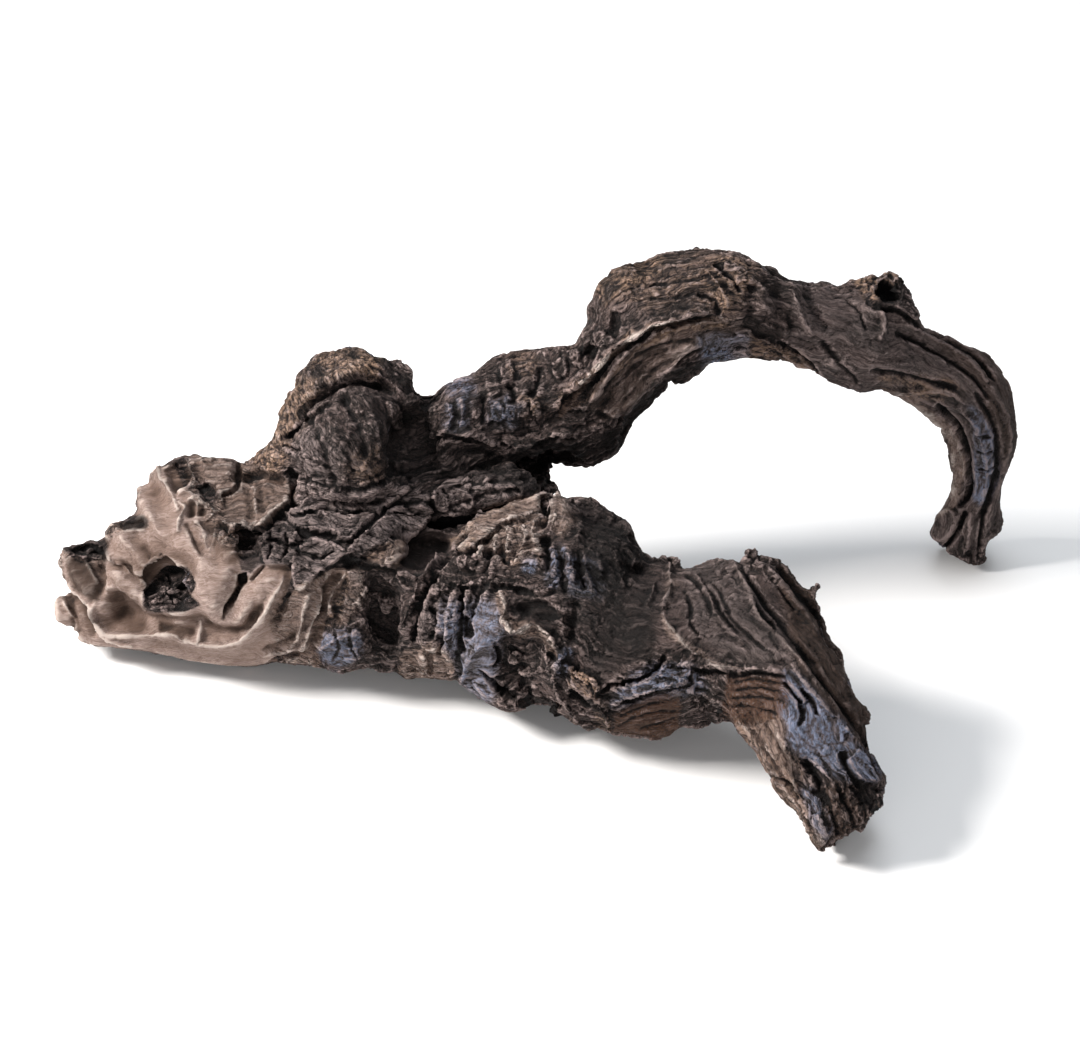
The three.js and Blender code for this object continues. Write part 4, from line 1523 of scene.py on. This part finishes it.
@dataclass(frozen=True)
class Bark:
    """Furrows, flakes, grain and grit; sizes in the limb's frame run along, across and deep."""

    along: Ridges = Ridges((34, 6.5, 6.5), 3, 0.6, 1.1)
    around: Ridges = Ridges((7, 30, 30), 3, 0.6, 1.1)
    furrow_size: tuple[float, float, float] = (46, 7.5, 7.5)
    cross_furrow_size: tuple[float, float, float] = (7, 30, 30)
    furrow_width: float = 0.14
    furrow_depth: float = 1.45
    flakes: Plates = Plates((26, 7, 7), 1.6, 1.1)
    seam_width: float = 0.12
    seam_depth: float = 0.7
    unseen: Ridges = Ridges((60, 15, 15), 2, 0.6, 3.5)
    grit: Knobs = Knobs(3.0, 2, 0.36)
    granules: Knobs = Knobs(12, 4, 2.2)
    crumbs: Ridges = Ridges((7, 7, 20), 3, 0.6, 1.5)
    fibres: Ridges = Ridges((60, 3.4, 3.4), 2, 0.5, 0.6)
    waves: Ridges = Ridges((95, 7, 7), 2, 0.5, 0.9)
    dents: Knobs = Knobs(16, 2, 0.6)

    def lift(
        self,
        noise: Noise,
        places: np.ndarray,
        grain: np.ndarray,
        tones: dict[Tone, np.ndarray],
        hidden: np.ndarray,
    ) -> np.ndarray:
        """Lifts places by bark where it is sound, and by worn grain where it is gone.

        Args:
            noise: Where the forms come from.
            places: Rows of x, y, z.
            grain: The same places in the limb's straightened frame.
            tones: How strongly each tone covers each place.
            hidden: How far each place lies away from the eye.

        Returns:
            Lift per place.
        """
        smooth, grainy, grey = tones[Tone.SMOOTH], tones[Tone.GRAINY], tones[Tone.GREY]
        turned = hidden * smoothstep(0.0, 0.4, noise.smooth(places / 60 + 5.0))
        upright = np.maximum(tones[Tone.UPRIGHT], turned)
        rough = (1 - 0.9 * smooth) * (1 - 0.6 * grainy)

        ridges = self.along.lift(noise, grain) * (1 - upright) + self.around.lift(noise, grain) * upright
        furrows = np.abs(noise.fractal(grain / self.furrow_size + 1.7, 3))
        cross = np.abs(noise.fractal(grain / self.cross_furrow_size + 6.1, 3))
        creases = furrows * (1 - upright) + cross * upright
        creases = np.clip(creases, 0, self.furrow_width) / self.furrow_width
        flakes, seam = self.flakes.lift(noise, grain)
        seams = self.seam_depth * (1 - smoothstep(0.0, self.seam_width, seam))
        lift = rough * (1 - 0.85 * grey) * ridges
        lift -= rough * (self.furrow_depth - 0.9 * grey) * (1 - creases) ** 2
        lift += rough * (flakes - seams)
        lift += hidden * self.unseen.lift(noise, grain)
        lift += (1 - 0.85 * smooth) * self.grit.lift(noise, places)
        lift += grainy * (self.granules.lift(noise, places) + self.crumbs.lift(noise, places))
        lift += smooth * (self.fibres.lift(noise, grain) + self.waves.lift(noise, grain))
        return lift + smooth * self.dents.lift(noise, places)


@dataclass(frozen=True)
class Grade:
    """How fine a mesh is: voxel, rounds it is relaxed at first, and how far drawn lines stray on it."""

    voxel: float
    rounds: int
    wander: float


class Sculptor:
    """Shapes the root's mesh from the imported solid."""

    SEED = 41
    ROUGH = Grade(voxel=2.6, rounds=12, wander=1.6)
    FINE = Grade(voxel=1.2, rounds=1, wander=0.8)
    BROAD = 2.5  # marks this wide are cut in the rough mesh, narrower ones in the fine mesh
    WORN_TO = -255.0  # the far side of the butt is bare from here on
    # The blue tone speckled on unseen sides is a painted sheen.
    UNSEEN_TONES = ((Tone.TAN, 3.0), (Tone.BLUE, 9.0), (Tone.GREY, 15.0))
    PROUD_UNIT = 0.6  # fine height that the material reads as 1
    SWELL_UNIT = 2.2  # broad height that the material reads as 1

    def __init__(self, node: bpy.types.Object, board: Board) -> None:
        """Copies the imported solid.

        Args:
            node: The CAD object to start from.
            board: The sheet that the forms are drawn on.
        """
        self.board = board
        self.noise = Noise(self.SEED)
        self.piece = bpy.data.objects.new("weathered_root", node.data.copy())
        bpy.context.scene.collection.objects.link(self.piece)

    def shape(self) -> bpy.types.Object:
        """Makes the finished mesh.

        Returns:
            The sculpted root.
        """
        rough = self._started(self.ROUGH)
        self._pull_outline(rough)
        self._true_edge(rough, reach=10.0, spare=-1.5)
        self._break_into_crags(rough)
        self._draw_forms(rough, [mark for mark in MARKS if mark.width >= self.BROAD], self.ROUGH.wander)
        self._true_edge(rough, reach=6.0, spare=-1.0)
        rough.store()

        fine = self._started(self.FINE)
        share = self._draw_forms(fine, [mark for mark in MARKS if mark.width < self.BROAD], self.FINE.wander)
        self._grow_bark(fine, share)
        self._true_edge(fine, reach=2.5, spare=1.0)
        fine.places[:, 2] = np.maximum(fine.places[:, 2], 0.0)
        fine.store()
        return self.piece

    def _started(self, grade: Grade) -> Surface:
        """Rebuilds the mesh at a grade and evens it out."""
        remeshed(self.piece, grade.voxel)
        surface = Surface(self.piece)
        surface.places = surface.relaxed(surface.places, grade.rounds)
        return surface

    def _move_sideways(self, surface: Surface, sideways: np.ndarray) -> None:
        """Moves points by rows of right and up on the board."""
        surface.places[:, 0] += sideways[:, 0]
        surface.places += sideways[:, 1:] * LOOK_UP

    def _pull_outline(self, surface: Surface) -> None:
        """Draws the outline out and in where the wood has tongues and notches."""
        drawn, _ = self.board.drawn(surface.places)
        self._move_sideways(surface, sum(pull.sideways(drawn) for pull in PULLS))

    def _true_edge(self, surface: Surface, reach: float, spare: float) -> None:
        """Brings the rim, as seen from the eye, onto the drawn edge."""
        drawn, _ = self.board.drawn(surface.places)
        normals = unit(surface.relaxed(surface.normals(), 2))
        facing = np.abs((normals * unit(surface.places - self.board.eye)).sum(1))
        rim = 1 - smoothstep(0.1, 0.75, facing)
        self._move_sideways(surface, surface.relaxed(EDGE.shift(drawn, rim, reach, spare), 2))

    def _limb_places(self, places: np.ndarray) -> np.ndarray:
        """Places in the nearer limb's own straightened frame."""
        front, front_far = FRONT_LIMB.straightened(places)
        back, back_far = BACK_LIMB.straightened(places)
        return np.where((back_far < front_far)[:, None], back, front)

    def _tones(self, places: np.ndarray, share: np.ndarray) -> dict[Tone, np.ndarray]:
        """How strongly each tone covers each point: as drawn where it is open, by noise elsewhere."""
        drawn, _ = self.board.drawn(places)
        stray = self.noise.wander(places, knob=22, shifts=(0, 11), size=9.0)
        tones = {tone: np.zeros(len(places)) for tone in Tone}
        for patch in PATCHES:
            tones[patch.tone] = np.maximum(tones[patch.tone], patch.share(drawn, stray) * share)
        hidden = 1 - share
        gone = self.WORN_TO - places[:, 0] + 40 * self.noise.fractal(places / 60, 2)
        tones[Tone.PALE] = np.maximum(tones[Tone.PALE], 0.8 * hidden * smoothstep(-15.0, 25.0, gone))
        for tone, lane in self.UNSEEN_TONES:
            speckle = smoothstep(0.05, 0.45, self.noise.fractal(places / 42 + lane, 2))
            tones[tone] = np.maximum(tones[tone], 0.6 * hidden * speckle)
        sound = 1 - tones.pop(Tone.CRAGGY)
        tones[Tone.SMOOTH] *= sound
        tones[Tone.PALE] *= sound
        return tones

    def _break_into_crags(self, surface: Surface) -> None:
        """Breaks the limbs' roundness into coarse ridges and planes."""
        places, normals = surface.places, surface.normals()
        tones = self._tones(places, np.ones(surface.count))
        calm = np.maximum(tones[Tone.SMOOTH], 0.7 * np.maximum(tones[Tone.GRAINY], tones[Tone.GREY]))
        grain = self._limb_places(places) + self.noise.wander(places, knob=40, shifts=(0, 23, 51), size=9.0)
        share = (1 - 0.8 * calm) * (1 - 0.5 * self.board.open_share(surface, normals))
        lift = Crags().lift(self.noise, places, grain, share)
        surface.places = surface.relaxed(places + normals * lift[:, None], 1)

    def _draw_forms(self, surface: Surface, marks: list[Mark], wander: float) -> np.ndarray:
        """Lifts and cuts the drawn forms.

        Args:
            surface: The mesh to change.
            marks: The forms.
            wander: How far the lines stray from where they are drawn.

        Returns:
            How far each point lies open to the eye.
        """
        normals = unit(surface.relaxed(surface.normals(), 3))
        share = self.board.open_share(surface, normals)
        drawn, _ = self.board.drawn(surface.places)
        stray = self.noise.wander(surface.places, knob=9.0, shifts=(0, 31.7), size=wander)
        lift = np.zeros(surface.count)
        for mark in marks:
            lift += mark.relief(drawn, stray)
        to_eye = unit(self.board.eye - surface.places)
        way = unit(normals * 0.65 + to_eye * 0.35)
        surface.places = surface.places + way * (lift * share)[:, None]
        return share

    def _grow_bark(self, surface: Surface, share: np.ndarray) -> None:
        """Adds bark, flakes, grain and grit, and keeps what the material reads.

        Args:
            surface: The mesh to change.
            share: How far each point lies open to the eye.
        """
        places = surface.places
        tones = self._tones(places, share)
        stray = self.noise.wander(places, knob=24, shifts=(0, 19, 37), size=6.0, octaves=3)
        grain = self._limb_places(places) + stray
        lift = Bark().lift(self.noise, places, grain, tones, 1 - share)
        surface.places = places + surface.normals() * lift[:, None]
        soft = surface.relaxed(surface.places, 10)
        broad = surface.relaxed(soft, 60)
        normals = surface.normals()
        for name, off, size in (
            ("proud", surface.places - soft, self.PROUD_UNIT), ("swell", soft - broad, self.SWELL_UNIT)
        ):
            surface.keep(name, ((off * normals).sum(1) / size).clip(-1.5, 1.5))
        surface.keep("grain", grain * MM)
        for tone, values in tones.items():
            surface.keep(tone.value, values)
        LOG.info("bark lifts points by %.1f to %.1f mm", lift.min(), lift.max())


class Shader:
    """A short way to write a material's nodes."""

    def __init__(self, name: str) -> None:
        """Starts a material with one finish node.

        Args:
            name: The material's name.
        """
        self.material = bpy.data.materials.new(name)
        self.material.use_nodes = True
        self.nodes = self.material.node_tree.nodes
        self.links = self.material.node_tree.links

    def _set(self, socket: Socket, value: Value) -> None:
        """Links a socket to another, or sets its value."""
        if isinstance(value, Socket):
            self.links.new(value, socket)
        else:
            socket.default_value = value

    def finish(self, key: str, value: Value) -> None:
        """Sets one quality of the finish.

        Args:
            key: Blender's name of the quality.
            value: Socket, number or colour.
        """
        self._set(self.nodes["Principled BSDF"].inputs[key], value)

    def kept(self, name: str, lane: str = "Fac") -> Socket:
        """Reads what is kept on the points.

        Args:
            name: The attribute's name.
            lane: Fac for a number, Vector for three.

        Returns:
            What was kept.
        """
        node = self.nodes.new("ShaderNodeAttribute")
        node.attribute_name = name
        return node.outputs[lane]

    def stretched(self, vector: Socket, scale: tuple[float, float, float]) -> Socket:
        """Scales a vector along its three lanes.

        Args:
            vector: The places to scale.
            scale: Knobs of noise per metre along each lane.

        Returns:
            The scaled places.
        """
        node = self.nodes.new("ShaderNodeVectorMath")
        node.operation = "MULTIPLY"
        self._set(node.inputs[0], vector)
        self._set(node.inputs[1], scale)
        return node.outputs[0]

    def noise(self, vector: Socket, detail: float, rough: float) -> Socket:
        """Noise from 0 to 1, one knob per unit.

        Args:
            vector: Where to read it.
            detail: Octaves.
            rough: Share kept by each finer octave.

        Returns:
            The noise's value.
        """
        node = self.nodes.new("ShaderNodeTexNoise")
        for key, value in (("Scale", 1.0), ("Detail", detail), ("Roughness", rough), ("Vector", vector)):
            self._set(node.inputs[key], value)
        return node.outputs["Fac"]

    def cracks(self, vector: Socket) -> Socket:
        """Distance to the nearest edge between cells, one cell per unit.

        Args:
            vector: Where to read it.

        Returns:
            The distance.
        """
        node = self.nodes.new("ShaderNodeTexVoronoi")
        node.feature = "DISTANCE_TO_EDGE"
        self._set(node.inputs["Scale"], 1.0)
        self._set(node.inputs["Vector"], vector)
        return node.outputs["Distance"]

    def math(self, operation: str, *values: Value) -> Socket:
        """Arithmetic on numbers.

        Args:
            operation: Blender's name of the operation.
            values: Sockets or numbers.

        Returns:
            The result.
        """
        node = self.nodes.new("ShaderNodeMath")
        node.operation = operation
        for socket, value in zip(node.inputs, values):
            self._set(socket, value)
        return node.outputs[0]

    def plus(self, first: Value, second: Value) -> Socket:
        """Adds two numbers.

        Args:
            first: Socket or number.
            second: Socket or number.

        Returns:
            The result.
        """
        return self.math("ADD", first, second)

    def minus(self, first: Value, second: Value) -> Socket:
        """Takes the second number from the first.

        Args:
            first: Socket or number.
            second: Socket or number.

        Returns:
            The result.
        """
        return self.math("SUBTRACT", first, second)

    def times(self, first: Value, second: Value) -> Socket:
        """Multiplies two numbers.

        Args:
            first: Socket or number.
            second: Socket or number.

        Returns:
            The result.
        """
        return self.math("MULTIPLY", first, second)

    def span(self, value: Value, low: float, high: float, bottom: float = 0.0, top: float = 1.0) -> Socket:
        """Maps a span of values smoothly to another and holds it at the ends.

        Args:
            value: The number to map.
            low: Where the span starts.
            high: Where it ends.
            bottom: What low becomes.
            top: What high becomes.

        Returns:
            The mapped number.
        """
        node = self.nodes.new("ShaderNodeMapRange")
        node.interpolation_type = "SMOOTHSTEP"
        keys = ("Value", "From Min", "From Max", "To Min", "To Max")
        for key, part in zip(keys, (value, low, high, bottom, top)):
            self._set(node.inputs[key], part)
        return node.outputs[0]

    def blend(self, share: Value, first: Value, second: Value) -> Socket:
        """Mixes two colours.

        Args:
            share: How much of the second shows.
            first: Colour or socket.
            second: Colour or socket.

        Returns:
            The mixed colour.
        """
        node = self.nodes.new("ShaderNodeMix")
        node.data_type = "RGBA"
        self._set(node.inputs[0], share)
        for index, colour in ((6, first), (7, second)):
            self._set(node.inputs[index], (*colour, 1.0) if isinstance(colour, tuple) else colour)
        return node.outputs[2]

    def bump(self, height: Value, strength: float, depth: float, under: Socket | None = None) -> Socket:
        """Turns a height into a tilt of the surface.

        Args:
            height: The height, 0 to 1.
            strength: How much it counts.
            depth: What a height of 1 stands for, in millimetres.
            under: A tilt to add to.

        Returns:
            The tilted direction.
        """
        node = self.nodes.new("ShaderNodeBump")
        for key, value in (("Strength", strength), ("Distance", depth * MM), ("Height", height)):
            self._set(node.inputs[key], value)
        if under is not None:
            self._set(node.inputs["Normal"], under)
        return node.outputs[0]


class WoodShader(Shader):
    """A shader that reads the wood's heights and the noise that follows its grain."""

    def __init__(self, name: str) -> None:
        """Adds the reads that several parts of the finish share.

        Args:
            name: The material's name.
        """
        super().__init__(name)
        grain = self.kept("grain", "Vector")
        self.proud, self.swell = self.kept("proud"), self.kept("swell")
        self.fibres = self.noise(self.stretched(grain, (110, 1000, 1000)), 6.0, 0.7)
        self.streaks = self.noise(self.stretched(grain, (22, 240, 240)), 5.0, 0.65)
        self.blotches = self.noise(self.stretched(grain, (32, 55, 55)), 5.0, 0.65)
        self.grit = self.noise(self.stretched(grain, (620, 620, 620)), 6.0, 0.75)
        bands = self.noise(self.stretched(grain, (70, 70, 70)), 1.5, 0.4)
        self.rings = self.math("SINE", self.times(bands, 160.0))
        self.flakes = self.cracks(self.stretched(grain, (150, 330, 330)))
        self.splits = self.span(self.math("ABSOLUTE", self.minus(self.streaks, 0.5)), 0.0, 0.035)
        uneven = self.times(self.minus(self.plus(self.grit, self.fibres), 1.0), 2.2)
        self.height = self.plus(self.proud, uneven)
        self.bare = self.minus(1.0, self.kept(Tone.SMOOTH.value))


@dataclass(frozen=True)
class WeatheredWood:
    """The finish of the whole root: dark bark, worn grain and pale eroded wood, with painted shade in dips,
    hollows and shaded sides, and painted highlights and a painted sheen on raised spots.
    """

    # Near black for cracks and seams, and for painted shade in dips, valleys and the dark patches.
    crack_and_shade_black: Colour = (0.004, 0.003, 0.0028)
    bark_dark: Colour = (0.023, 0.0165, 0.0145)
    bark: Colour = (0.074, 0.051, 0.046)
    bark_grey: Colour = (0.190, 0.148, 0.140)
    # For worn streaks, and as a painted highlight on raised bark.
    bark_wear_and_highlight: Colour = (0.37, 0.28, 0.26)
    tan: Colour = (0.36, 0.225, 0.145)
    # Painted blue-grey sheen.
    blue_sheen: Colour = (0.15, 0.192, 0.29)
    pale: Colour = (0.31, 0.235, 0.208)
    # Painted highlight on the pale wood's raised edges.
    pale_edge_highlight: Colour = (0.50, 0.42, 0.375)
    # The pale wood's dark grain, and painted shade in its hollows.
    pale_grain_and_shade: Colour = (0.12, 0.075, 0.056)
    ring_orange: Colour = (0.078, 0.037, 0.021)
    # Painted brown shade.
    painted_shade_brown: Colour = (0.070, 0.042, 0.030)
    shine: float = 0.18

    def material(self) -> bpy.types.Material:
        """Builds the node material.

        Returns:
            The material.
        """
        s = WoodShader("weathered_wood")
        patchy = s.times(s.minus(s.blotches, 0.5), 0.8)
        worn = s.span(s.plus(s.kept(Tone.PALE.value), patchy), 0.25, 0.75)
        colour = s.blend(worn, self._bark(s), self._pale(s))
        s.finish("Base Color", self._darkened_by_shade_and_cracks(s, self._shaded(s, colour), worn))
        dull = s.plus(s.grit, s.times(s.kept(Tone.BLUE.value), -0.35))
        s.finish("Roughness", s.span(dull, 0.0, 0.8, 0.45, 0.95))
        s.finish("Specular IOR Level", self.shine)
        s.finish("Normal", self._tilt(s))
        return s.material

    def _bark(self, s: WoodShader) -> Socket:
        """Dark bark with worn streaks, grey and tan patches on its high spots, a painted blue sheen on its
        high spots and a painted highlight on its raised spots.
        """
        bark = s.blend(s.span(s.blotches, 0.38, 0.62), self.bark_dark, self.bark)
        bark = s.blend(s.times(s.span(s.streaks, 0.5, 0.72), 0.35), bark, self.bark_wear_and_highlight)
        grey = s.times(s.kept(Tone.GREY.value), s.span(s.height, -0.6, 0.7, 0.2, 0.95))
        bark = s.blend(grey, bark, self.bark_grey)
        # Painted sheen: blue-grey on the high spots of the blue patches.
        blue = s.times(s.kept(Tone.BLUE.value), s.span(s.height, -0.4, 0.8, 0.1, 1.0))
        bark = s.blend(s.times(blue, s.span(s.blotches, 0.38, 0.58, 0.55, 1.0)), bark, self.blue_sheen)
        tan = s.times(s.kept(Tone.TAN.value), s.span(s.height, -0.6, 0.8))
        bark = s.blend(s.times(tan, s.span(s.blotches, 0.35, 0.6)), bark, self.tan)
        # Painted highlight: raised spots lighten towards the worn colour.
        return s.blend(s.span(s.height, 0.35, 1.6, 0.0, 0.65), bark, self.bark_wear_and_highlight)

    def _pale(self, s: WoodShader) -> Socket:
        """Bare eroded wood with darker grain, painted shade in its hollows and a painted highlight on its
        raised edges.
        """
        pale = s.blend(s.span(s.fibres, 0.35, 0.65, 0.25, 1.0), self.pale_grain_and_shade, self.pale)
        pale = s.blend(s.span(s.streaks, 0.34, 0.56, 0.45, 0.0), pale, self.pale_grain_and_shade)
        # Painted shade in the hollows.
        pale = s.blend(s.span(s.swell, -0.8, 0.4), self.pale_grain_and_shade, pale)
        # Painted highlight on raised edges.
        return s.blend(s.span(s.plus(s.proud, s.swell), 0.5, 2.2, 0.0, 0.8), pale, self.pale_edge_highlight)

    def _shaded(self, s: WoodShader, colour: Socket) -> Socket:
        """Adds painted brown shade, stronger in low spots, and the stripes of growth rings."""
        # Painted shade: brown where the brown patches lie, more of it in low spots.
        shade = s.span(s.plus(s.height, s.swell), -0.2, 1.8, 0.95, 0.5)
        colour = s.blend(s.times(s.kept(Tone.BROWN.value), shade), colour, self.painted_shade_brown)
        stripes = s.times(s.kept(Tone.RINGS.value), s.span(s.rings, -0.4, 0.8, 0.4, 0.95))
        return s.blend(stripes, colour, self.ring_orange)

    def _darkened_by_shade_and_cracks(self, s: WoodShader, colour: Socket, worn: Socket) -> Socket:
        """Darkens with painted shade in dips, valleys and the dark patches (partly dark bark), and darkens
        splits and seams between flakes as cracks.
        """
        # Painted shade in fine dips and broad valleys.
        dips = s.times(s.span(s.height, -1.2, 0.0, 1.0, 0.0), s.span(worn, 0.0, 1.0, 0.95, 0.35))
        valleys = s.span(s.swell, -1.3, -0.1, 0.9, 0.0)
        splits = s.times(s.minus(1.0, s.splits), s.times(s.bare, 0.85))
        seams = s.times(s.span(s.flakes, 0.0, 0.07, 0.6, 0.0), s.bare)
        # Painted shade from the dark patches, which are partly dark bark.
        drawn_shade = s.times(s.kept(Tone.DARK.value), 0.85)
        for share in (dips, valleys, splits, seams, drawn_shade):
            colour = s.blend(share, colour, self.crack_and_shade_black)
        return colour

    def _tilt(self, s: WoodShader) -> Socket:
        """Tilts the surface by what is too fine for the mesh."""
        seams = s.times(s.span(s.flakes, 0.0, 0.15), s.bare)
        splits = s.times(s.splits, s.bare)
        tilt = None
        for height, strength, depth in (
            (s.fibres, 0.9, 1.2), (s.grit, 0.9, 1.0), (seams, 0.7, 0.7), (splits, 0.9, 1.2)
        ):
            tilt = s.bump(height, strength, depth, tilt)
        return tilt


@dataclass(frozen=True)
class PaleFloor:
    """The plain floor that the root lies on."""

    side: float = 12.0
    colour: Colour = (0.86, 0.855, 0.85)
    roughness: float = 0.9

    def build(self) -> bpy.types.Object:
        """Makes the floor.

        Returns:
            The floor's object.
        """
        half = self.side / 2
        corners = [(-half, -half, 0), (half, -half, 0), (half, half, 0), (-half, half, 0)]
        mesh = bpy.data.meshes.new("floor")
        mesh.from_pydata(corners, [], [(0, 1, 2, 3)])
        floor = bpy.data.objects.new("floor", mesh)
        bpy.context.scene.collection.objects.link(floor)
        s = Shader("floor_paint")
        s.finish("Base Color", (*self.colour, 1.0))
        s.finish("Roughness", self.roughness)
        mesh.materials.append(s.material)
        return floor


def aimed(thing: bpy.types.Object, place: Vector, aim: Vector) -> None:
    """Puts a lamp or camera somewhere and points it.

    Args:
        thing: What to place.
        place: Where it goes.
        aim: Where it points.
    """
    thing.location = place
    thing.rotation_euler = (aim - place).to_track_quat("-Z", "Y").to_euler()


@dataclass(frozen=True)
class SoftLight:
    """One soft studio panel aimed at the root: where it hangs, its side in metres and its power in watts."""

    name: str
    place: tuple[float, float, float]
    side: float
    power: float
    colour: Colour

    def build(self, aim: Vector) -> None:
        """Hangs the panel.

        Args:
            aim: Where it points.
        """
        light = bpy.data.lights.new(self.name, "AREA")
        light.size = self.side
        light.energy = self.power
        light.color = self.colour
        panel = bpy.data.objects.new(self.name, light)
        aimed(panel, Vector(self.place), aim)
        bpy.context.scene.collection.objects.link(panel)


@dataclass(frozen=True)
class Studio:
    """Floor, panels, plain surroundings and camera."""

    lens: float = 96.0
    film: float = 36.0
    air: Colour = (0.95, 0.97, 1.0)
    surroundings: float = 0.36
    lights: tuple[SoftLight, ...] = (
        SoftLight("key_panel", (-1.5, -0.1, 1.3), 0.6, 84.0, (1.0, 0.97, 0.94)),
        SoftLight("sky_panel", (0.3, 0.5, 1.8), 1.2, 17.0, (0.9, 0.95, 1.0)),
        SoftLight("front_panel", (-0.5, -1.8, 0.4), 1.2, 17.0, (1.0, 0.98, 0.97)),
    )

    def build(self, board: Board) -> None:
        """Sets the scene up.

        Args:
            board: The sheet whose eye the camera stands at.
        """
        scene = bpy.context.scene
        PaleFloor().build()
        aim = Vector(board.aim * MM)
        for light in self.lights:
            light.build(aim)
        world = bpy.data.worlds.new("studio_air")
        world.use_nodes = True
        background = world.node_tree.nodes["Background"]
        background.inputs["Color"].default_value = (*self.air, 1.0)
        background.inputs["Strength"].default_value = self.surroundings
        scene.world = world
        scene.view_settings.view_transform = "Standard"
        camera = bpy.data.cameras.new("front_camera")
        camera.lens = self.lens
        camera.sensor_width = self.film
        camera.clip_start, camera.clip_end = 0.05, 50.0
        eye = bpy.data.objects.new("front_camera", camera)
        aimed(eye, Vector(board.eye * MM), aim)
        scene.collection.objects.link(eye)
        scene.camera = eye


def main() -> None:
    """Builds the studio and the root."""
    logging.basicConfig(level=logging.INFO, format="%(name)s: %(message)s")
    low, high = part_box(NODE)
    board = Board((np.array(low) + np.array(high)) / 2 / MM)
    Studio().build(board)
    LOG.info("studio ready")

    root = Sculptor(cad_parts[NODE], board).shape()
    root.data.materials.clear()
    root.data.materials.append(WeatheredWood().material())
    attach(root, BODY)
    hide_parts(NODE)
    LOG.info("%s: %d points, %d faces", root.name, len(root.data.vertices), len(root.data.polygons))


if __name__ == "__main__":
    main()
